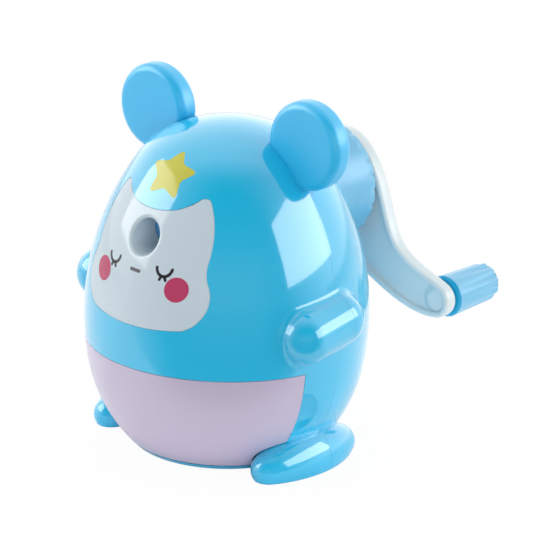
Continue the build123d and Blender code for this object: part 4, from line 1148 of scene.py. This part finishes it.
# ---------------------------------------------------------------- studio
# A pale table top under a soft white tent, with a large soft box on each side and a broad,
# low light in front that leaves no glare.
floor_mesh = bpy.data.meshes.new("table_top")
span = 3.0
table_edge = 0.075
facing_way = Vector((0.655, -0.756, 0))  # level, towards the front right
side_way = Vector((0.756, 0.655, 0))
table_corners = ((table_edge, -span), (table_edge, span), (-span, span), (-span, -span))
table_points = [facing_way * near + side_way * across for near, across in table_corners]
floor_mesh.from_pydata(table_points, [], [(0, 1, 2, 3)])
table = placed("table_top", floor_mesh)
white = bpy.data.materials.new("white_table")
white.use_nodes = True
tree = white.node_tree
matt = tree.nodes["Principled BSDF"]
feed(tree, matt, {"Base Color": (0.9, 0.9, 0.9, 1), "Roughness": 0.7})
seen = add(tree, "ShaderNodeLightPath", out="Is Camera Ray")
glow = add(tree, "ShaderNodeEmission", None, {"Color": (1, 1, 1, 1), "Strength": 1.0})
mixed = add(tree, "ShaderNodeMixShader", None, {0: seen * 0.96, 1: Socket(tree, matt.outputs[0]), 2: glow})
feed(tree, tree.nodes["Material Output"], {"Surface": mixed})
floor_mesh.materials.append(white)

world = bpy.data.worlds.new("tent")
bpy.context.scene.world = world
world.use_nodes = True
tree = world.node_tree
tree.nodes.clear()
wx, wy, wz = split(add(tree, "ShaderNodeTexCoord", out=0))
facing = wx * facing_way.x + wy * facing_way.y  # 1 towards the front right
overhead = wz.maths("MAXIMUM", wz - 0.25, 0.0)
behind = wx.maths("MINIMUM", wx.maths("MAXIMUM", (0.65 - facing) / 0.7, 0.0), 1.0)
below = wz.maths("LESS_THAN", wz, 0.0)
# the tent's brightness: dim in front, bright behind, a little darker overhead and below
level = 0.27 + 1.2 * behind - 0.5 * overhead - 0.1 * below
seen = add(tree, "ShaderNodeLightPath", out="Is Camera Ray")
strength = level * (1 - seen) + seen
tent = add(tree, "ShaderNodeBackground", None, {"Color": (1, 1, 1, 1), "Strength": strength})
feed(tree, tree.nodes.new("ShaderNodeOutputWorld"), {"Surface": tent})


def soft_box(name, turn, rise, distance, width, height, glare, fill):
    """A soft box at a turn from the front and a rise: one lamp for its glare, one for its light."""
    turn, rise = math.radians(turn), math.radians(rise)
    target = Vector((0, 0, 0.06))
    way = Vector((math.sin(turn) * math.cos(rise), -math.cos(turn) * math.cos(rise), math.sin(rise)))
    for part, power in (("glare", glare), ("fill", fill)):
        if not power:
            continue
        lamp = bpy.data.lights.new(f"{name}_{part}", "AREA")
        lamp.shape, lamp.size, lamp.size_y = "RECTANGLE", width, height
        lamp.energy = power * math.pi * width * height
        box = placed(f"{name}_{part}", lamp)
        box.location = target + way * distance
        box.rotation_euler = way.to_track_quat("Z", "Y").to_euler()
        box.visible_diffuse, box.visible_glossy = part == "fill", part == "glare"


soft_box("left_soft_box", -51, 25, 0.7, 0.58, 0.42, 3.2, 2.0)
soft_box("front_fill", 45, 6, 0.9, 0.9, 0.6, 0.0, 2.6)
soft_box("right_soft_box", 116, 21, 0.7, 0.66, 0.36, 3.3, 2.0)

# ---------------------------------------------------------------- camera
# A long lens from the front right and a little above.
lens = bpy.data.cameras.new("camera")
lens.lens, lens.sensor_width = 193.43, 36.0
lens.clip_start, lens.clip_end = 0.05, 20.0
camera = placed("camera", lens)
aim, distance = Vector((0.008875, 0.009771, 0.05457)), 0.898114
right_way = Vector((0.75124, 0.65978, 0.01814))
up_way = Vector((-0.22683, 0.23227, 0.94583))
back_way = Vector((0.61983, -0.71466, 0.32415))
turn = Matrix((right_way, up_way, back_way)).transposed().to_4x4()
camera.matrix_world = Matrix.Translation(aim + back_way * distance) @ turn
bpy.context.scene.camera = camera
bpy.context.scene.view_settings.view_transform = "Standard"
